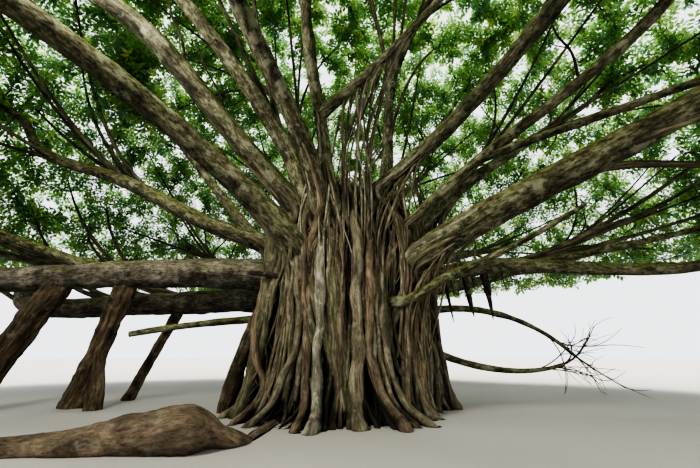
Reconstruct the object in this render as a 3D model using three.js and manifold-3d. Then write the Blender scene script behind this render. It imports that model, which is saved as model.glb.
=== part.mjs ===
// A banyan tree: one broad trunk of fused aerial roots, boughs that spread from its shoulder under a wide
// domed crown, pillar roots that prop a low bough, and masses of leaf sprays at the boughs' tips.
// Millimetres, +Z up. The origin is the middle of the flat cut at ground level. Azimuth 0 is +X and 90 is +Y.
import * as THREE from "three";
import { mergeVertices } from "three/addons/utils/BufferGeometryUtils.js";
import Module from "manifold-3d";

const wasm = await Module();
wasm.setup();

// Driving dimensions of the trunk.
const WAIST_RADIUS = 1300;
const FOOT_EXTRA = 110;
const FOOT_HEIGHT = 520;
const SHOULDER_HEIGHT = 2900;
const TRUNK_TOP = 4500;
const SHOULDER_SLOPE = 1.5;
const LOBE_SHARE = 0.06;
const LOBE_COUNT = 3;
const LOBE_AZIMUTH = 240;
const RIB_COUNT = 22;
const RIB_DEPTH = 300;
const RIB_UNEVEN = 0.5;
const RIB_WANDER = 0.3;
const WANDER_HEIGHT = 850;
const TOE_REACH = 290;
const TOE_HEIGHT = 260;
const TRUNK_ROWS = [0, 110, 280, 550, 950, 1450, 1950, 2450, 2900, 3250, 3600, 3950, 4250, 4420];

// Driving dimensions of the crown: an oval dome with a lip below its widest level, hollow inside.
const CROWN_REACH = 11000;
const CROWN_STRETCH = 1.07;
const CROWN_BASE = 4000;
const CROWN_HEIGHT = 8700;
const CROWN_LIP = 1700;
const CROWN_DEPTH = 2900;

// How limbs and foliage meet, and how far apart masses and limbs stay.
const GAP = 0.3;
const CUT_MARGIN = 0.8;
const CELL_MARGIN = 90;
const LIMB_MARGIN = 60;
const BUTT_SINK = 620;
const STEM_LENGTH = 1500;
const APPROACH = 450;
const TIP_SHARE = 0.36;
const BUTT_SWELL = 0.28;
const SWELL_LENGTH = 420;

// Foliage: each blade stands for a spray of leaves, and lies nearly along the crown's own surface.
const TWIG_SPACING = 1800;
const TARGET_DRAWS = 150;
const SPRAY_PLACES = [
  [0.98, 0],
  [0.84, 1],
  [0.84, -1],
  [0.5, 1],
  [0.5, -1],
];
const SPRAY_TRIES = 6;
const SPRAY_LENGTH = 1700;
const SPRAY_WIDTH = 1040;
const SPRAY_THICKNESS = 44;
const TWIG_RADIUS = 42;
const TARGET_MARGIN = 450;
const TARGET_FIELD = 7600;
const CROWDING = 0.85;
const SPRING_SHARES = [0.35, 0.6, 0.85, 1];
const BEND_COST = 0.7;
const LEAST_TWIG = 900;
const SIMPLE_WITHIN = 3;
const SEED = 20;

// Each main bough: its name and butt radius; the azimuth and height of its butt on the trunk; the azimuths,
// reaches and heights that it passes; the azimuth and the lift over the crown's base of the mass it carries.
const BOUGHS = [
  ["left_low_front", 250, [194, 2200], [[184, 4100, 2260], [186, 7000, 2170]], [185, -5]],
  ["left_low_back", 215, [164, 1870], [[170, 4150, 1850], [173, 6800, 1880]], [163, -4]],
  ["left_middle", 200, [190, 2830], [[183, 2700, 3320], [181, 4700, 4330], [182, 6300, 4850]], [178, 25]],
  ["left_high_outer", 190, [244, 3020], [[234, 2550, 3850], [226, 4700, 5350]], [213, 17]],
  ["left_front_main", 225, [243, 2460], [[230, 2500, 3330], [230, 4850, 4200]], [236, 6]],
  ["left_high_steep", 170, [251, 3010], [[240, 1950, 4150], [229, 3650, 5950]], [228, 40]],
  ["front_left_upright", 165, [257, 3000], [[256, 2100, 3740], [250, 3700, 5000]], [259, 11]],
  ["front_upright", 115, [265, 2980], [[261, 2000, 4160], [259, 2900, 5850]], [270, 42]],
  ["front_right_high", 155, [299, 3550], [[311, 2450, 4240], [309, 3950, 4850]], [292, 10]],
  ["right_front_slender", 100, [311, 2800], [[317, 2650, 3580], [319, 5300, 4950]], [322, 36]],
  ["right_main", 270, [318, 2300], [[321, 2600, 2780], [319, 4600, 3300]], [316, 7]],
  ["right_low", 190, [12, 2300], [[9, 3200, 2620], [354, 6400, 2350]], [350, -4]],
  ["right_back_low", 150, [30, 2050], [[27, 4300, 2700]], [20, 8]],
  ["back_right", 210, [50, 2500], [[46, 4300, 3500]], [48, 9]],
  ["back_middle_right", 220, [78, 2350], [[74, 4200, 3150]], [76, 8]],
  ["back_middle_left", 215, [107, 2550], [[108, 4100, 3500]], [104, 9]],
  ["back_left", 220, [134, 2300], [[137, 4300, 3050]], [132, 8]],
  ["right_high", 165, [12, 3200], [[8, 2600, 4350]], [10, 38]],
  ["back_right_high", 170, [62, 3300], [[60, 2500, 4700]], [62, 40]],
  ["back_left_high", 170, [122, 3250], [[120, 2600, 4600]], [118, 38]],
  ["top_right", 145, [15, 3950], [[335, 1200, 6700]], [330, 70]],
  ["top_left", 150, [155, 3850], [[150, 1500, 6500]], [150, 64]],
];

// Forks with no mass of their own: name, the bough and the share along it, heading, rise, length, turn,
// change of rise, butt and tip radius.
const FORKS = [
  ["left_low_fork", "left_low_front", 0.42, 196, 14, 4200, -14, 16, 105, 55],
  ["left_middle_fork", "left_middle", 0.12, 176, 50, 4300, 6, 0, 105, 50],
  ["front_fork", "front_upright", 0.29, 338, 31, 4200, -14, 12, 85, 45],
  ["right_slender_fork", "right_front_slender", 0.3, 328, 6, 4600, 4, 0, 62, 38],
  ["right_low_fork", "right_low", 0.36, 356, 10, 4300, 6, 4, 95, 50],
];

// Thin limbs low on the trunk: name, the butt's azimuth and height, and then as for the forks.
const LOW_LIMBS = [
  ["right_front_limb", 307, 1700, 335, 12, 3300, -10, 14, 88, 28],
  ["right_drooping_limb", 30, 1500, 8, 20, 4500, 10, -58, 95, 34],
  ["right_ground_limb", 36, 1420, 4, -34, 4200, 16, 46, 90, 36],
  ["left_broken_limb", 168, 1520, 186, -2, 3000, -6, -8, 75, 55],
];

// Pillar roots under a low bough: name, the bough, the share along it, the foot's x and y, two radii.
const PROPS = [
  ["pillar_root_outer", "left_low_front", 0.525, -5850, -950, 180, 235],
  ["pillar_root_inner", "left_low_front", 0.39, -4650, -100, 140, 190],
  ["pillar_root_back", "left_low_back", 0.3, -4350, 900, 80, 100],
];

// The aerial roots that hang free below a bough: the bough, the share along it, length, radius at the top.
const HANGING = ["right_low", 0.22, 1000, 42];

// The root that snakes over the ground, with a high knee in it: the places that its middle line passes.
const KNEE = [
  [-880, -1500, -10],
  [-960, -2150, -20],
  [-1060, -2720, 70],
  [-1450, -2980, 165],
  [-2000, -3010, 60],
  [-2800, -3050, 0],
  [-3700, -3250, -30],
  [-4400, -3500, -80],
];

const BARK = { color: 0x6f6148, roughness: 0.9, metalness: 0 };
const ROOT_BARK = { color: 0x7a6446, roughness: 0.88, metalness: 0 };
const LEAF = { color: 0x3f7a22, roughness: 0.55, metalness: 0 };

// Repeatable draws from 0 to 1.
function drawsFrom(seed) {
  let state = seed >>> 0;
  return () => {
    state = (state + 0x6d2b79f5) >>> 0;
    let t = Math.imul(state ^ (state >>> 15), state | 1);
    t ^= t + Math.imul(t ^ (t >>> 7), t | 61);
    return ((t ^ (t >>> 14)) >>> 0) / 4294967296;
  };
}

const radians = THREE.MathUtils.degToRad;

function heading(azimuth, rise) {
  const flat = Math.cos(radians(rise));
  return new THREE.Vector3(
    flat * Math.cos(radians(azimuth)),
    flat * Math.sin(radians(azimuth)),
    Math.sin(radians(rise)),
  );
}

// Solids: a closed geometry becomes a manifold, and comes back as a mesh's geometry.
function solidOf(geometry) {
  geometry.deleteAttribute("normal");
  geometry.deleteAttribute("uv");
  const merged = mergeVertices(geometry, 1e-3);
  return new wasm.Manifold(
    new wasm.Mesh({
      numProp: 3,
      vertProperties: merged.attributes.position.array,
      triVerts: new Uint32Array(merged.index.array),
    }),
  );
}

function largestOf(solid) {
  const bodies = solid.decompose();
  return bodies.reduce((best, body) => (body.volume() > best.volume() ? body : best));
}

function meshOf(name, solid, finish) {
  const { vertProperties, triVerts } = solid.getMesh();
  const geometry = new THREE.BufferGeometry()
    .setAttribute("position", new THREE.BufferAttribute(new Float32Array(vertProperties), 3))
    .setIndex(new THREE.BufferAttribute(triVerts, 1));
  geometry.computeVertexNormals();
  const mesh = new THREE.Mesh(geometry, new THREE.MeshStandardMaterial(finish));
  mesh.name = name;
  return mesh;
}

function geometryFrom(points, faces) {
  return new THREE.BufferGeometry()
    .setAttribute("position", new THREE.Float32BufferAttribute(points.flatMap((p) => [p.x, p.y, p.z]), 3))
    .setIndex(faces);
}

// The trunk's outline at a height: a lobed core, and uneven root ribs round it that flare into toes.
const ribDraw = drawsFrom(SEED);
const ribs = Array.from({ length: RIB_COUNT }, (_, i) => ({
  edge: (2 * Math.PI * (i + RIB_UNEVEN * (ribDraw() - 0.5))) / RIB_COUNT,
  size: 0.45 + 0.75 * ribDraw(),
  toe: 0.4 + 0.9 * ribDraw(),
}));

function coreRadius(azimuth, height) {
  const above = Math.max(0, (height - SHOULDER_HEIGHT) / (TRUNK_TOP - SHOULDER_HEIGHT));
  const lobe = 1 + LOBE_SHARE * Math.cos(LOBE_COUNT * (azimuth - radians(LOBE_AZIMUTH)));
  const column = WAIST_RADIUS + FOOT_EXTRA * Math.exp(-height / FOOT_HEIGHT);
  return column * lobe * (1 - above ** SHOULDER_SLOPE);
}

// A point on the trunk's surface. Place counts the ribs, and is a whole number in the valley between two.
function trunkPoint(place, height, grow) {
  const index = Math.floor(place) % RIB_COUNT;
  const across = place - Math.floor(place);
  const rib = ribs[index];
  const next = index + 1 < RIB_COUNT ? ribs[index + 1].edge : ribs[0].edge + 2 * Math.PI;
  const upright = rib.edge + across * (next - rib.edge);
  const sway = Math.sin(height / WANDER_HEIGHT + 2.2 * Math.sin(3 * upright));
  const azimuth = upright + (2 * Math.PI * RIB_WANDER * sway) / RIB_COUNT;
  const crest = Math.sin(Math.PI * across) ** 0.6;
  const toe = TOE_REACH * rib.toe * Math.exp(-height / TOE_HEIGHT);
  const fade = 1 - 0.6 * Math.max(0, (height - SHOULDER_HEIGHT) / (TRUNK_TOP - SHOULDER_HEIGHT));
  const radius = coreRadius(azimuth, height) + crest * (RIB_DEPTH * rib.size * fade + toe) + grow;
  return new THREE.Vector3(radius * Math.cos(azimuth), radius * Math.sin(azimuth), height);
}

function trunkSolid(grow) {
  const columns = 4 * RIB_COUNT;
  const points = [];
  const faces = [];
  for (const height of TRUNK_ROWS) {
    for (let i = 0; i < columns; i++) {
      points.push(trunkPoint(i / 4, height, grow));
    }
  }
  for (let row = 0; row < TRUNK_ROWS.length - 1; row++) {
    for (let i = 0; i < columns; i++) {
      const a = row * columns + i;
      const b = row * columns + ((i + 1) % columns);
      faces.push(a, b, b + columns, a, b + columns, a + columns);
    }
  }
  const last = (TRUNK_ROWS.length - 1) * columns;
  const top = points.push(new THREE.Vector3(0, 0, TRUNK_TOP + grow)) - 1;
  for (let i = 0; i < columns; i++) {
    faces.push(last + i, last + ((i + 1) % columns), top);
  }
  // The flat cut: an inner triangle round the origin, and a skirt from it to the outline.
  const inner = [0, 1, 2].map((i) => points.push(heading(60 + 120 * i, 0).multiplyScalar(500)) - 1);
  const sector = (i) => inner[Math.floor((3 * (((i % columns) + columns) % columns)) / columns)];
  for (let i = 0; i < columns; i++) {
    faces.push(i, sector(i), (i + 1) % columns);
    if (sector(i) !== sector(i + 1)) {
      faces.push((i + 1) % columns, sector(i), sector(i + 1));
    }
  }
  faces.push(inner[0], inner[2], inner[1]);
  return solidOf(geometryFrom(points, faces));
}

// A tapering limb along a curve: rings of a few sides, closed by flat ends.
function limbSolid(curve, radiusAt, sides, steps, grow = 0) {
  const frames = curve.computeFrenetFrames(steps, false);
  const points = [];
  const faces = [];
  for (let k = 0; k <= steps; k++) {
    const centre = curve.getPointAt(k / steps);
    const radius = radiusAt(k / steps) + grow;
    for (let i = 0; i < sides; i++) {
      const turn = (2 * Math.PI * i) / sides;
      points.push(
        centre
          .clone()
          .addScaledVector(frames.normals[k], radius * Math.cos(turn))
          .addScaledVector(frames.binormals[k], radius * Math.sin(turn)),
      );
    }
  }
  for (let k = 0; k < steps; k++) {
    for (let i = 0; i < sides; i++) {
      const a = k * sides + i;
      const b = k * sides + ((i + 1) % sides);
      faces.push(a, b, b + sides, a, b + sides, a + sides);
    }
  }
  for (let i = 1; i < sides - 1; i++) {
    faces.push(0, i + 1, i);
    faces.push(steps * sides, steps * sides + i, steps * sides + i + 1);
  }
  return solidOf(geometryFrom(points, faces));
}

// The crown's own measure: 1 on a dome of that depth below the outer surface, more outside it.
function domeMeasure(p, depth) {
  const reach = CROWN_REACH - depth;
  const tall = p.z > CROWN_BASE ? CROWN_HEIGHT - 0.9 * depth : CROWN_LIP;
  return Math.hypot(p.x / (reach * CROWN_STRETCH), p.y / reach, (p.z - CROWN_BASE) / tall);
}

function inCrown(p) {
  return domeMeasure(p, 0) <= 1 && domeMeasure(p, CROWN_DEPTH) >= 1;
}

// The middle of a mass, half way through the crown's depth.
function massCentre(azimuth, lift) {
  const depth = CROWN_DEPTH / 2;
  const flat = (CROWN_REACH - depth) * Math.cos(radians(lift));
  return new THREE.Vector3(
    CROWN_STRETCH * flat * Math.cos(radians(azimuth)),
    flat * Math.sin(radians(azimuth)),
    CROWN_BASE + (CROWN_HEIGHT - 0.9 * depth) * Math.sin(radians(lift)),
  );
}

// A point that far out from the trunk's middle line, at that height.
function outAt(azimuth, reach, height) {
  return heading(azimuth, 0).multiplyScalar(reach).setZ(height);
}

// A point on the trunk's waist, where a limb's butt lies.
function trunkSurface(azimuth, height) {
  return outAt(azimuth, coreRadius(radians(azimuth), height) + 0.5 * RIB_DEPTH, height);
}

// A main bough's line: from inside the trunk, out at its butt, past its own places, and outwards to its mass.
function boughCurve([, , [azimuth, height], passes, [massAzimuth, lift]]) {
  const butt = trunkSurface(azimuth, height);
  const depth = Math.max(0, Math.hypot(butt.x, butt.y) - BUTT_SINK);
  const inside = outAt(azimuth, depth, height - 0.3 * BUTT_SINK);
  const arrive = heading(massAzimuth, 12 + 0.8 * lift);
  const end = massCentre(massAzimuth, lift).addScaledVector(arrive, -STEM_LENGTH);
  const approach = end.clone().addScaledVector(arrive, -APPROACH);
  return new THREE.CatmullRomCurve3([inside, butt, ...passes.map((p) => outAt(...p)), approach, end]);
}

function taper(butt, tip, length) {
  return (t) => (butt + (tip - butt) * t ** 0.9) * (1 + BUTT_SWELL * Math.exp((-t * length) / SWELL_LENGTH));
}

// A lesser limb's line: its heading and rise change evenly along its length.
function steeredCurve(start, aim, rise, length, turn, lift) {
  const steps = 8;
  const points = [start.clone()];
  for (let k = 0; k < steps; k++) {
    const t = (k + 0.5) / steps;
    points.push(points[k].clone().addScaledVector(heading(aim + turn * t, rise + lift * t), length / steps));
  }
  return new THREE.CatmullRomCurve3(points);
}

const tree = new THREE.Group();
const trunk = trunkSolid(0);
const trunkCut = trunkSolid(CUT_MARGIN);
tree.add(meshOf("trunk", trunk, BARK));

// What later pieces have to stay clear of: each limb's grown solid, and its line with its radius.
const limbs = new Map();
const taken = [];

function addLimb(name, curve, radiusAt, sides, steps, finish, base = null) {
  const whole = limbSolid(curve, radiusAt, sides, steps).trimByPlane([0, 0, 1], 0);
  const grown = limbSolid(curve, radiusAt, sides, steps, CUT_MARGIN);
  let solid = base ? whole.subtract(limbs.get(base).grown) : whole.subtract(trunkCut);
  for (const other of taken.filter((t) => t.name !== base)) {
    solid = solid.subtract(other.grown);
  }
  if (base) {
    solid = solid.subtract(trunkCut);
  }
  solid = largestOf(solid);
  const entry = { name, curve, radiusAt, grown, solid };
  limbs.set(name, entry);
  taken.push(entry);
  tree.add(meshOf(name, solid, finish));
  return entry;
}

for (const row of BOUGHS) {
  const [name, butt] = row;
  const curve = boughCurve(row);
  addLimb(name, curve, taper(butt, Math.max(58, TIP_SHARE * butt), curve.getLength()), 6, 9, BARK);
}

for (const [name, base, share, aim, rise, length, turn, lift, butt, tip] of FORKS) {
  const curve = steeredCurve(limbs.get(base).curve.getPointAt(share), aim, rise, length, turn, lift);
  addLimb(name, curve, taper(butt, tip, length), 5, 6, BARK, base);
}

for (const [name, azimuth, height, aim, rise, length, turn, lift, butt, tip] of LOW_LIMBS) {
  const start = trunkSurface(azimuth, height).addScaledVector(heading(azimuth, 0), -0.6 * BUTT_SINK);
  const curve = steeredCurve(start, aim, rise, length, turn, lift);
  addLimb(name, curve, taper(butt, tip, length), 5, 6, BARK);
}

for (const [name, base, share, footX, footY, top, foot] of PROPS) {
  const head = limbs.get(base).curve.getPointAt(share);
  const middle = new THREE.Vector3(0.45 * head.x + 0.55 * footX, 0.5 * head.y + 0.5 * footY, 0.42 * head.z);
  const curve = new THREE.QuadraticBezierCurve3(head, middle, new THREE.Vector3(footX, footY, -200));
  const radiusAt = (t) => top + (foot - top) * t ** 2 + 0.5 * top * Math.exp(-t * 5);
  addLimb(name, curve, radiusAt, 7, 6, ROOT_BARK, base);
}

const [hangBase, hangShare, hangLength, hangRadius] = HANGING;
const hangHead = limbs.get(hangBase).curve.getPointAt(hangShare);
const hangLine = new THREE.LineCurve3(hangHead, hangHead.clone().add(new THREE.Vector3(60, 30, -hangLength)));
addLimb("hanging_roots", hangLine, (t) => hangRadius * (1 - 0.75 * t), 5, 3, ROOT_BARK, hangBase);

// One aerial root leans beside the trunk.
const leaning = new THREE.QuadraticBezierCurve3(
  outAt(201, 1380, 1900),
  outAt(200, 1800, 1000),
  outAt(199, 1960, -150),
);
addLimb("leaning_root", leaning, (t) => 90 + 50 * t, 6, 5, ROOT_BARK);

// The surface root is thickest at its knee, and swells once more beyond it.
const kneeLine = new THREE.CatmullRomCurve3(KNEE.map((p) => new THREE.Vector3(...p)));
function kneeRadius(t) {
  return 95 + 120 * Math.exp(-(((t - 0.45) / 0.14) ** 2)) + 30 * Math.exp(-(((t - 0.75) / 0.15) ** 2));
}
addLimb("surface_root", kneeLine, kneeRadius, 7, 14, ROOT_BARK);

// Every limb as a chain of short stretches, for keeping foliage off it.
const stretches = taken.flatMap(({ name, curve, radiusAt }) =>
  Array.from({ length: 12 }, (_, k) => ({
    name,
    from: curve.getPointAt(k / 12),
    to: curve.getPointAt((k + 1) / 12),
    radius: radiusAt(k / 12),
  })),
);

function distanceToStretch(p, { from, to }) {
  const along = to.clone().sub(from);
  const share = THREE.MathUtils.clamp(p.clone().sub(from).dot(along) / along.lengthSq(), 0, 1);
  return p.distanceTo(from.clone().addScaledVector(along, share));
}

// Each mass keeps to its own space: its share of the crown, nearer its middle than any other's by a margin.
const masses = BOUGHS.map((row) => ({
  name: "foliage_" + row[0],
  bough: limbs.get(row[0]),
  centre: massCentre(...row[4]),
}));

function inOwnSpace(p, mass, inset) {
  if (!inCrown(p)) {
    return false;
  }
  return masses.every((other) => {
    if (other === mass) {
      return true;
    }
    const between = p.distanceToSquared(other.centre) - p.distanceToSquared(mass.centre);
    return between / (2 * mass.centre.distanceTo(other.centre)) > CELL_MARGIN + inset;
  });
}

function clearOfLimbs(points, mass) {
  const others = stretches.filter((s) => s.name !== mass.bough.name);
  return others.every((s) => points.every((p) => distanceToStretch(p, s) > s.radius + LIMB_MARGIN));
}

// The next place that a twig may grow to: well inside a mass's own space, in the outer half of the crown's
// depth, and of the places drawn the one that lies furthest from the twigs' ends so far, while there is room.
function nextTarget(mass, ends, draw) {
  let best = null;
  let bestRoom = TWIG_SPACING;
  for (let k = 0; k < TARGET_DRAWS; k++) {
    const off = new THREE.Vector3(draw() - 0.5, draw() - 0.5, draw() - 0.5);
    const p = off.multiplyScalar(TARGET_FIELD).add(mass.centre);
    const outer = domeMeasure(p, 0.5 * CROWN_DEPTH) > 1 && domeMeasure(p, 330) < 1;
    if (outer && inOwnSpace(p, mass, TARGET_MARGIN)) {
      const room = Math.min(...ends.map((q) => q.distanceTo(p)));
      if (room > bestRoom) {
        best = p;
        bestRoom = room;
      }
    }
  }
  return best;
}

// A blade in the outline of a spray: widest two fifths along, with its root at the origin, pointing along +X.
function sprayGeometry(scale) {
  const blade = new THREE.OctahedronGeometry(1, 0);
  const position = blade.attributes.position;
  for (let i = 0; i < position.count; i++) {
    const x = position.getX(i);
    const along = x > 0.5 ? 1 : x < -0.5 ? 0 : 0.42;
    position.setXYZ(
      i,
      scale * SPRAY_LENGTH * along,
      0.5 * scale * SPRAY_WIDTH * position.getY(i),
      0.5 * SPRAY_THICKNESS * position.getZ(i),
    );
  }
  return blade;
}

// The way out through the crown's surface at a point.
function outwards(p) {
  const tall = p.z > CROWN_BASE ? CROWN_HEIGHT : 3 * CROWN_LIP;
  return new THREE.Vector3(
    p.x / (CROWN_REACH * CROWN_STRETCH) ** 2,
    p.y / CROWN_REACH ** 2,
    (p.z - CROWN_BASE) / tall ** 2,
  ).normalize();
}

function placedSpray(root, along, yaw, tilt, scale) {
  const up = outwards(root).add(new THREE.Vector3(0, 0, 0.5)).normalize();
  const aim = along.clone().addScaledVector(up, -along.dot(up)).normalize().applyAxisAngle(up, yaw);
  const side = up.clone().cross(aim).applyAxisAngle(aim, tilt);
  const place = new THREE.Matrix4().makeBasis(aim, side, aim.clone().cross(side)).setPosition(root);
  return sprayGeometry(scale).applyMatrix4(place);
}

function cornersOf(geometry) {
  const position = geometry.attributes.position;
  const corners = [];
  for (let i = 0; i < position.count; i++) {
    corners.push(new THREE.Vector3().fromBufferAttribute(position, i));
  }
  return corners;
}

// The grown twig, and the place on it, from which a new twig to a target bends and reaches least.
function bestSpring(grown, target) {
  let best = null;
  for (const limb of grown) {
    for (const t of SPRING_SHARES) {
      const node = limb.getPointAt(t);
      const out = limb.getTangentAt(t);
      const away = target.clone().sub(node);
      const cost = away.length() * (1 + BEND_COST * (1 - away.clone().normalize().dot(out)));
      if (away.length() > LEAST_TWIG && (!best || cost < best.cost)) {
        best = { cost, node, out, away };
      }
    }
  }
  return best;
}

// A mass: a stem from its bough's tip to the middle of its space, twigs that each spring from the nearest
// grown limb towards the next target, and sprays at each twig's tip and in pairs down its sides.
function growMass(mass, index) {
  const twigDraw = drawsFrom(SEED + 101 * (index + 1));
  const sprayDraw = drawsFrom(SEED + 101 * (index + 1) + 50);
  const aim = mass.bough.curve.getTangentAt(1);
  const tipRadius = mass.bough.radiusAt(1);
  const stemStart = mass.bough.curve.getPointAt(1).addScaledVector(aim, GAP);
  const stem = new THREE.LineCurve3(stemStart, stemStart.clone().addScaledVector(aim, STEM_LENGTH));
  const solids = [limbSolid(stem, (t) => 0.97 * tipRadius * (1 - 0.35 * t), 5, 1)];
  const grown = [stem];
  const ends = [stemStart];
  const middles = [];

  function addSpray(root, along, yaw, tilt, scale) {
    const geometry = placedSpray(root, along, yaw, tilt, scale);
    const corners = cornersOf(geometry).filter((c) => c.distanceTo(root) > 1);
    const middle = corners.reduce((sum, c) => sum.add(c), new THREE.Vector3()).divideScalar(corners.length);
    const crowded = middles.some((m) => m.distanceTo(middle) < CROWDING * SPRAY_WIDTH);
    const inside = corners.every((c) => inOwnSpace(c, mass, 0));
    if (crowded || !inside || !clearOfLimbs([...corners, middle], mass)) {
      return false;
    }
    middles.push(middle);
    solids.push(solidOf(geometry));
    return true;
  }

  for (let target = nextTarget(mass, ends, twigDraw); target; target = nextTarget(mass, ends, twigDraw)) {
    const spring = bestSpring(grown, target);
    ends.push(target);
    const bend = spring.node.clone().addScaledVector(spring.out, 0.35 * spring.away.length());
    const twig = new THREE.QuadraticBezierCurve3(spring.node, bend, target);
    const samples = [0.5, 0.75, 1].map((t) => twig.getPointAt(t));
    if (!samples.every((p) => inOwnSpace(p, mass, 0)) || !clearOfLimbs(samples, mass)) {
      continue;
    }
    grown.push(twig);
    solids.push(limbSolid(twig, (t) => TWIG_RADIUS * (1 - 0.4 * t), 3, 2));
    for (const [share, side] of SPRAY_PLACES) {
      const root = twig.getPointAt(share);
      const along = twig.getTangentAt(share);
      for (let k = 0, placed = false; k < SPRAY_TRIES && !placed; k++) {
        const yaw = side * (0.95 + 0.3 * sprayDraw()) + (0.5 + 0.25 * k) * (sprayDraw() - 0.5);
        const tilt = 0.5 * (sprayDraw() - 0.5);
        const scale = 1 + 0.25 * (sprayDraw() - 0.5) - 0.04 * k;
        placed = addSpray(root, along, yaw, tilt, scale);
      }
    }
  }
  return largestOf(wasm.Manifold.union(solids).simplify(SIMPLE_WITHIN));
}

masses.forEach((mass, index) => tree.add(meshOf(mass.name, growMass(mass, index), LEAF)));

export default tree;
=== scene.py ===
import math

import bpy
import numpy as np
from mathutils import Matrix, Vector


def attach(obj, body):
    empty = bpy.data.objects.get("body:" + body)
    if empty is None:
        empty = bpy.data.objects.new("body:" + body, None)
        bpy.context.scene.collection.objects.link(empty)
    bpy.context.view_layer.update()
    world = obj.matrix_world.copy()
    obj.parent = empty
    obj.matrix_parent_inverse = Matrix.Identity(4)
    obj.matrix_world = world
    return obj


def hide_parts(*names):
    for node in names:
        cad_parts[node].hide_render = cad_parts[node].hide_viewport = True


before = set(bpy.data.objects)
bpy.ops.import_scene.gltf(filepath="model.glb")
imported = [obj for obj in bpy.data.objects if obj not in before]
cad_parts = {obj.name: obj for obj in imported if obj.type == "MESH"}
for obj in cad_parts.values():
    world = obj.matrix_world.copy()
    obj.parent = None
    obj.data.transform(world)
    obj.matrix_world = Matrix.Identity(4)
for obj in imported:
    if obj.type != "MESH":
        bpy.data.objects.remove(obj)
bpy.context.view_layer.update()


# The view: a very wide lens a little under seven metres from the trunk's middle, well below head
# height, tipped up so that the horizon lies low and the boughs fan out over the whole picture.
VIEW_FROM = (0.12, -6.7, 0.85)
VIEW_TIPPED_UP = 19.0
LENS_MM = 18.0
SENSOR_MM = 36.0
SEES_AS_FAR_AS = 400.0

camera_data = bpy.data.cameras.new("view")
camera_data.lens = LENS_MM
camera_data.sensor_width = SENSOR_MM
camera_data.clip_end = SEES_AS_FAR_AS
camera = bpy.data.objects.new("view", camera_data)
bpy.context.collection.objects.link(camera)
camera.location = VIEW_FROM
camera.rotation_euler = (math.radians(90 + VIEW_TIPPED_UP), 0, 0)
bpy.context.scene.camera = camera


# The trunk's heart: aerial roots that reached the ground a century ago and
# fused into one broad ribbed column. It is grey-brown wood and thin bark,
# painted nearly black all over as shade in the deep clefts. It flares into toes where it stands.
TURN = 2 * math.pi
WAIST_RADIUS = 1.30
FOOT_EXTRA = 0.11
FOOT_HEIGHT = 0.52
SHOULDER_HEIGHT = 2.9
TRUNK_TOP = 4.5
SHOULDER_SLOPE = 1.5
LOBE_SHARE = 0.06
LOBE_COUNT = 3
LOBE_AZIMUTH = math.radians(240)
RIB_COUNT = 22
RIB_DEPTH = 0.30
RIB_UNEVEN = 0.5
LEAST_RIB_SIZE = 0.45
RIB_SIZE_RANGE = 0.75
LEAST_TOE = 0.4
TOE_RANGE = 0.9
RIB_SWAY = 0.3 * TURN / RIB_COUNT
SWAY_HEIGHT = 0.85
SWAY_WAVES = 3
SWAY_STAGGER = 2.2
SWAY_PASSES = 9
CREST_ROUNDNESS = 0.6
SHOULDER_FADE = 0.6
TOE_REACH = 0.29
TOE_HEIGHT = 0.26
FLANK_HOLD = 0.30
SEED = 20
HEART_COLUMNS = 520
HEART_ROWS = 150
HEART_SINK = 0.24
HEART_TOP = 4.12
HEART_CAP = 0.05
LEAST_HEART_SHARE = 0.3
FOOT_CROWDING = 1.25
HEART_STRETCH = [1.5, 1.5, 0.35]
HEART_LUMPS = [(0.035, 0.16), (0.016, 0.06)]
HEART_CORDS = 130
HEART_CORD_DEPTH = 0.014


def draws_from(seed):
    """Repeatable draws from 0 to 1, the same ones that set the trunk's ribs and the twigs in the solids."""
    mask = 0xFFFFFFFF
    state = seed & mask

    def draw():
        nonlocal state
        state = (state + 0x6D2B79F5) & mask
        t = ((state ^ (state >> 15)) * (state | 1)) & mask
        t ^= (t + ((t ^ (t >> 7)) * (t | 61))) & mask
        return (t ^ (t >> 14)) / 4294967296

    return draw


def lumps(points, size, seed=0):
    """Smooth noise from -1 to 1 at an array of points, with lumps about that
    size. The large numbers scramble each cell's place into a draw of its own."""
    p = np.asarray(points, float) / size
    cell = np.floor(p).astype(np.int64)
    f = p - cell
    f = f * f * (3 - 2 * f)
    total = np.zeros(p.shape[:-1])
    for corner in range(8):
        step = np.array([corner & 1, (corner >> 1) & 1, corner >> 2])
        c = cell + step
        h = (c[..., 0] * 374761393 + c[..., 1] * 668265263 + c[..., 2] * 2147483647 + seed * 974634777)
        h = ((h ^ (h >> 13)) * 1274126177) & 0x7FFFFFFF
        h = (h ^ (h >> 16)) & 0xFFFF
        weight = np.prod(np.where(step, f, 1 - f), axis=-1)
        total += weight * (h / 32767.5 - 1)
    return total


def ribs_of_trunk():
    """Each rib's edge in radians, and the shares that set its size and its toe's reach."""
    draw = draws_from(SEED)
    rows = []
    for i in range(RIB_COUNT):
        edge = TURN * (i + RIB_UNEVEN * (draw() - 0.5)) / RIB_COUNT
        size = LEAST_RIB_SIZE + RIB_SIZE_RANGE * draw()
        toe = LEAST_TOE + TOE_RANGE * draw()
        rows.append((edge, size, toe))
    return np.array(rows)


RIBS = ribs_of_trunk()


def core_radius(azimuth, height):
    """How far out the trunk would reach without its ribs and toes."""
    above = np.maximum(0, (height - SHOULDER_HEIGHT) / (TRUNK_TOP - SHOULDER_HEIGHT))
    lobe = 1 + LOBE_SHARE * np.cos(LOBE_COUNT * (azimuth - LOBE_AZIMUTH))
    column = WAIST_RADIUS + FOOT_EXTRA * np.exp(-height / FOOT_HEIGHT)
    return column * lobe * (1 - np.minimum(above, 1) ** SHOULDER_SLOPE)


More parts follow.
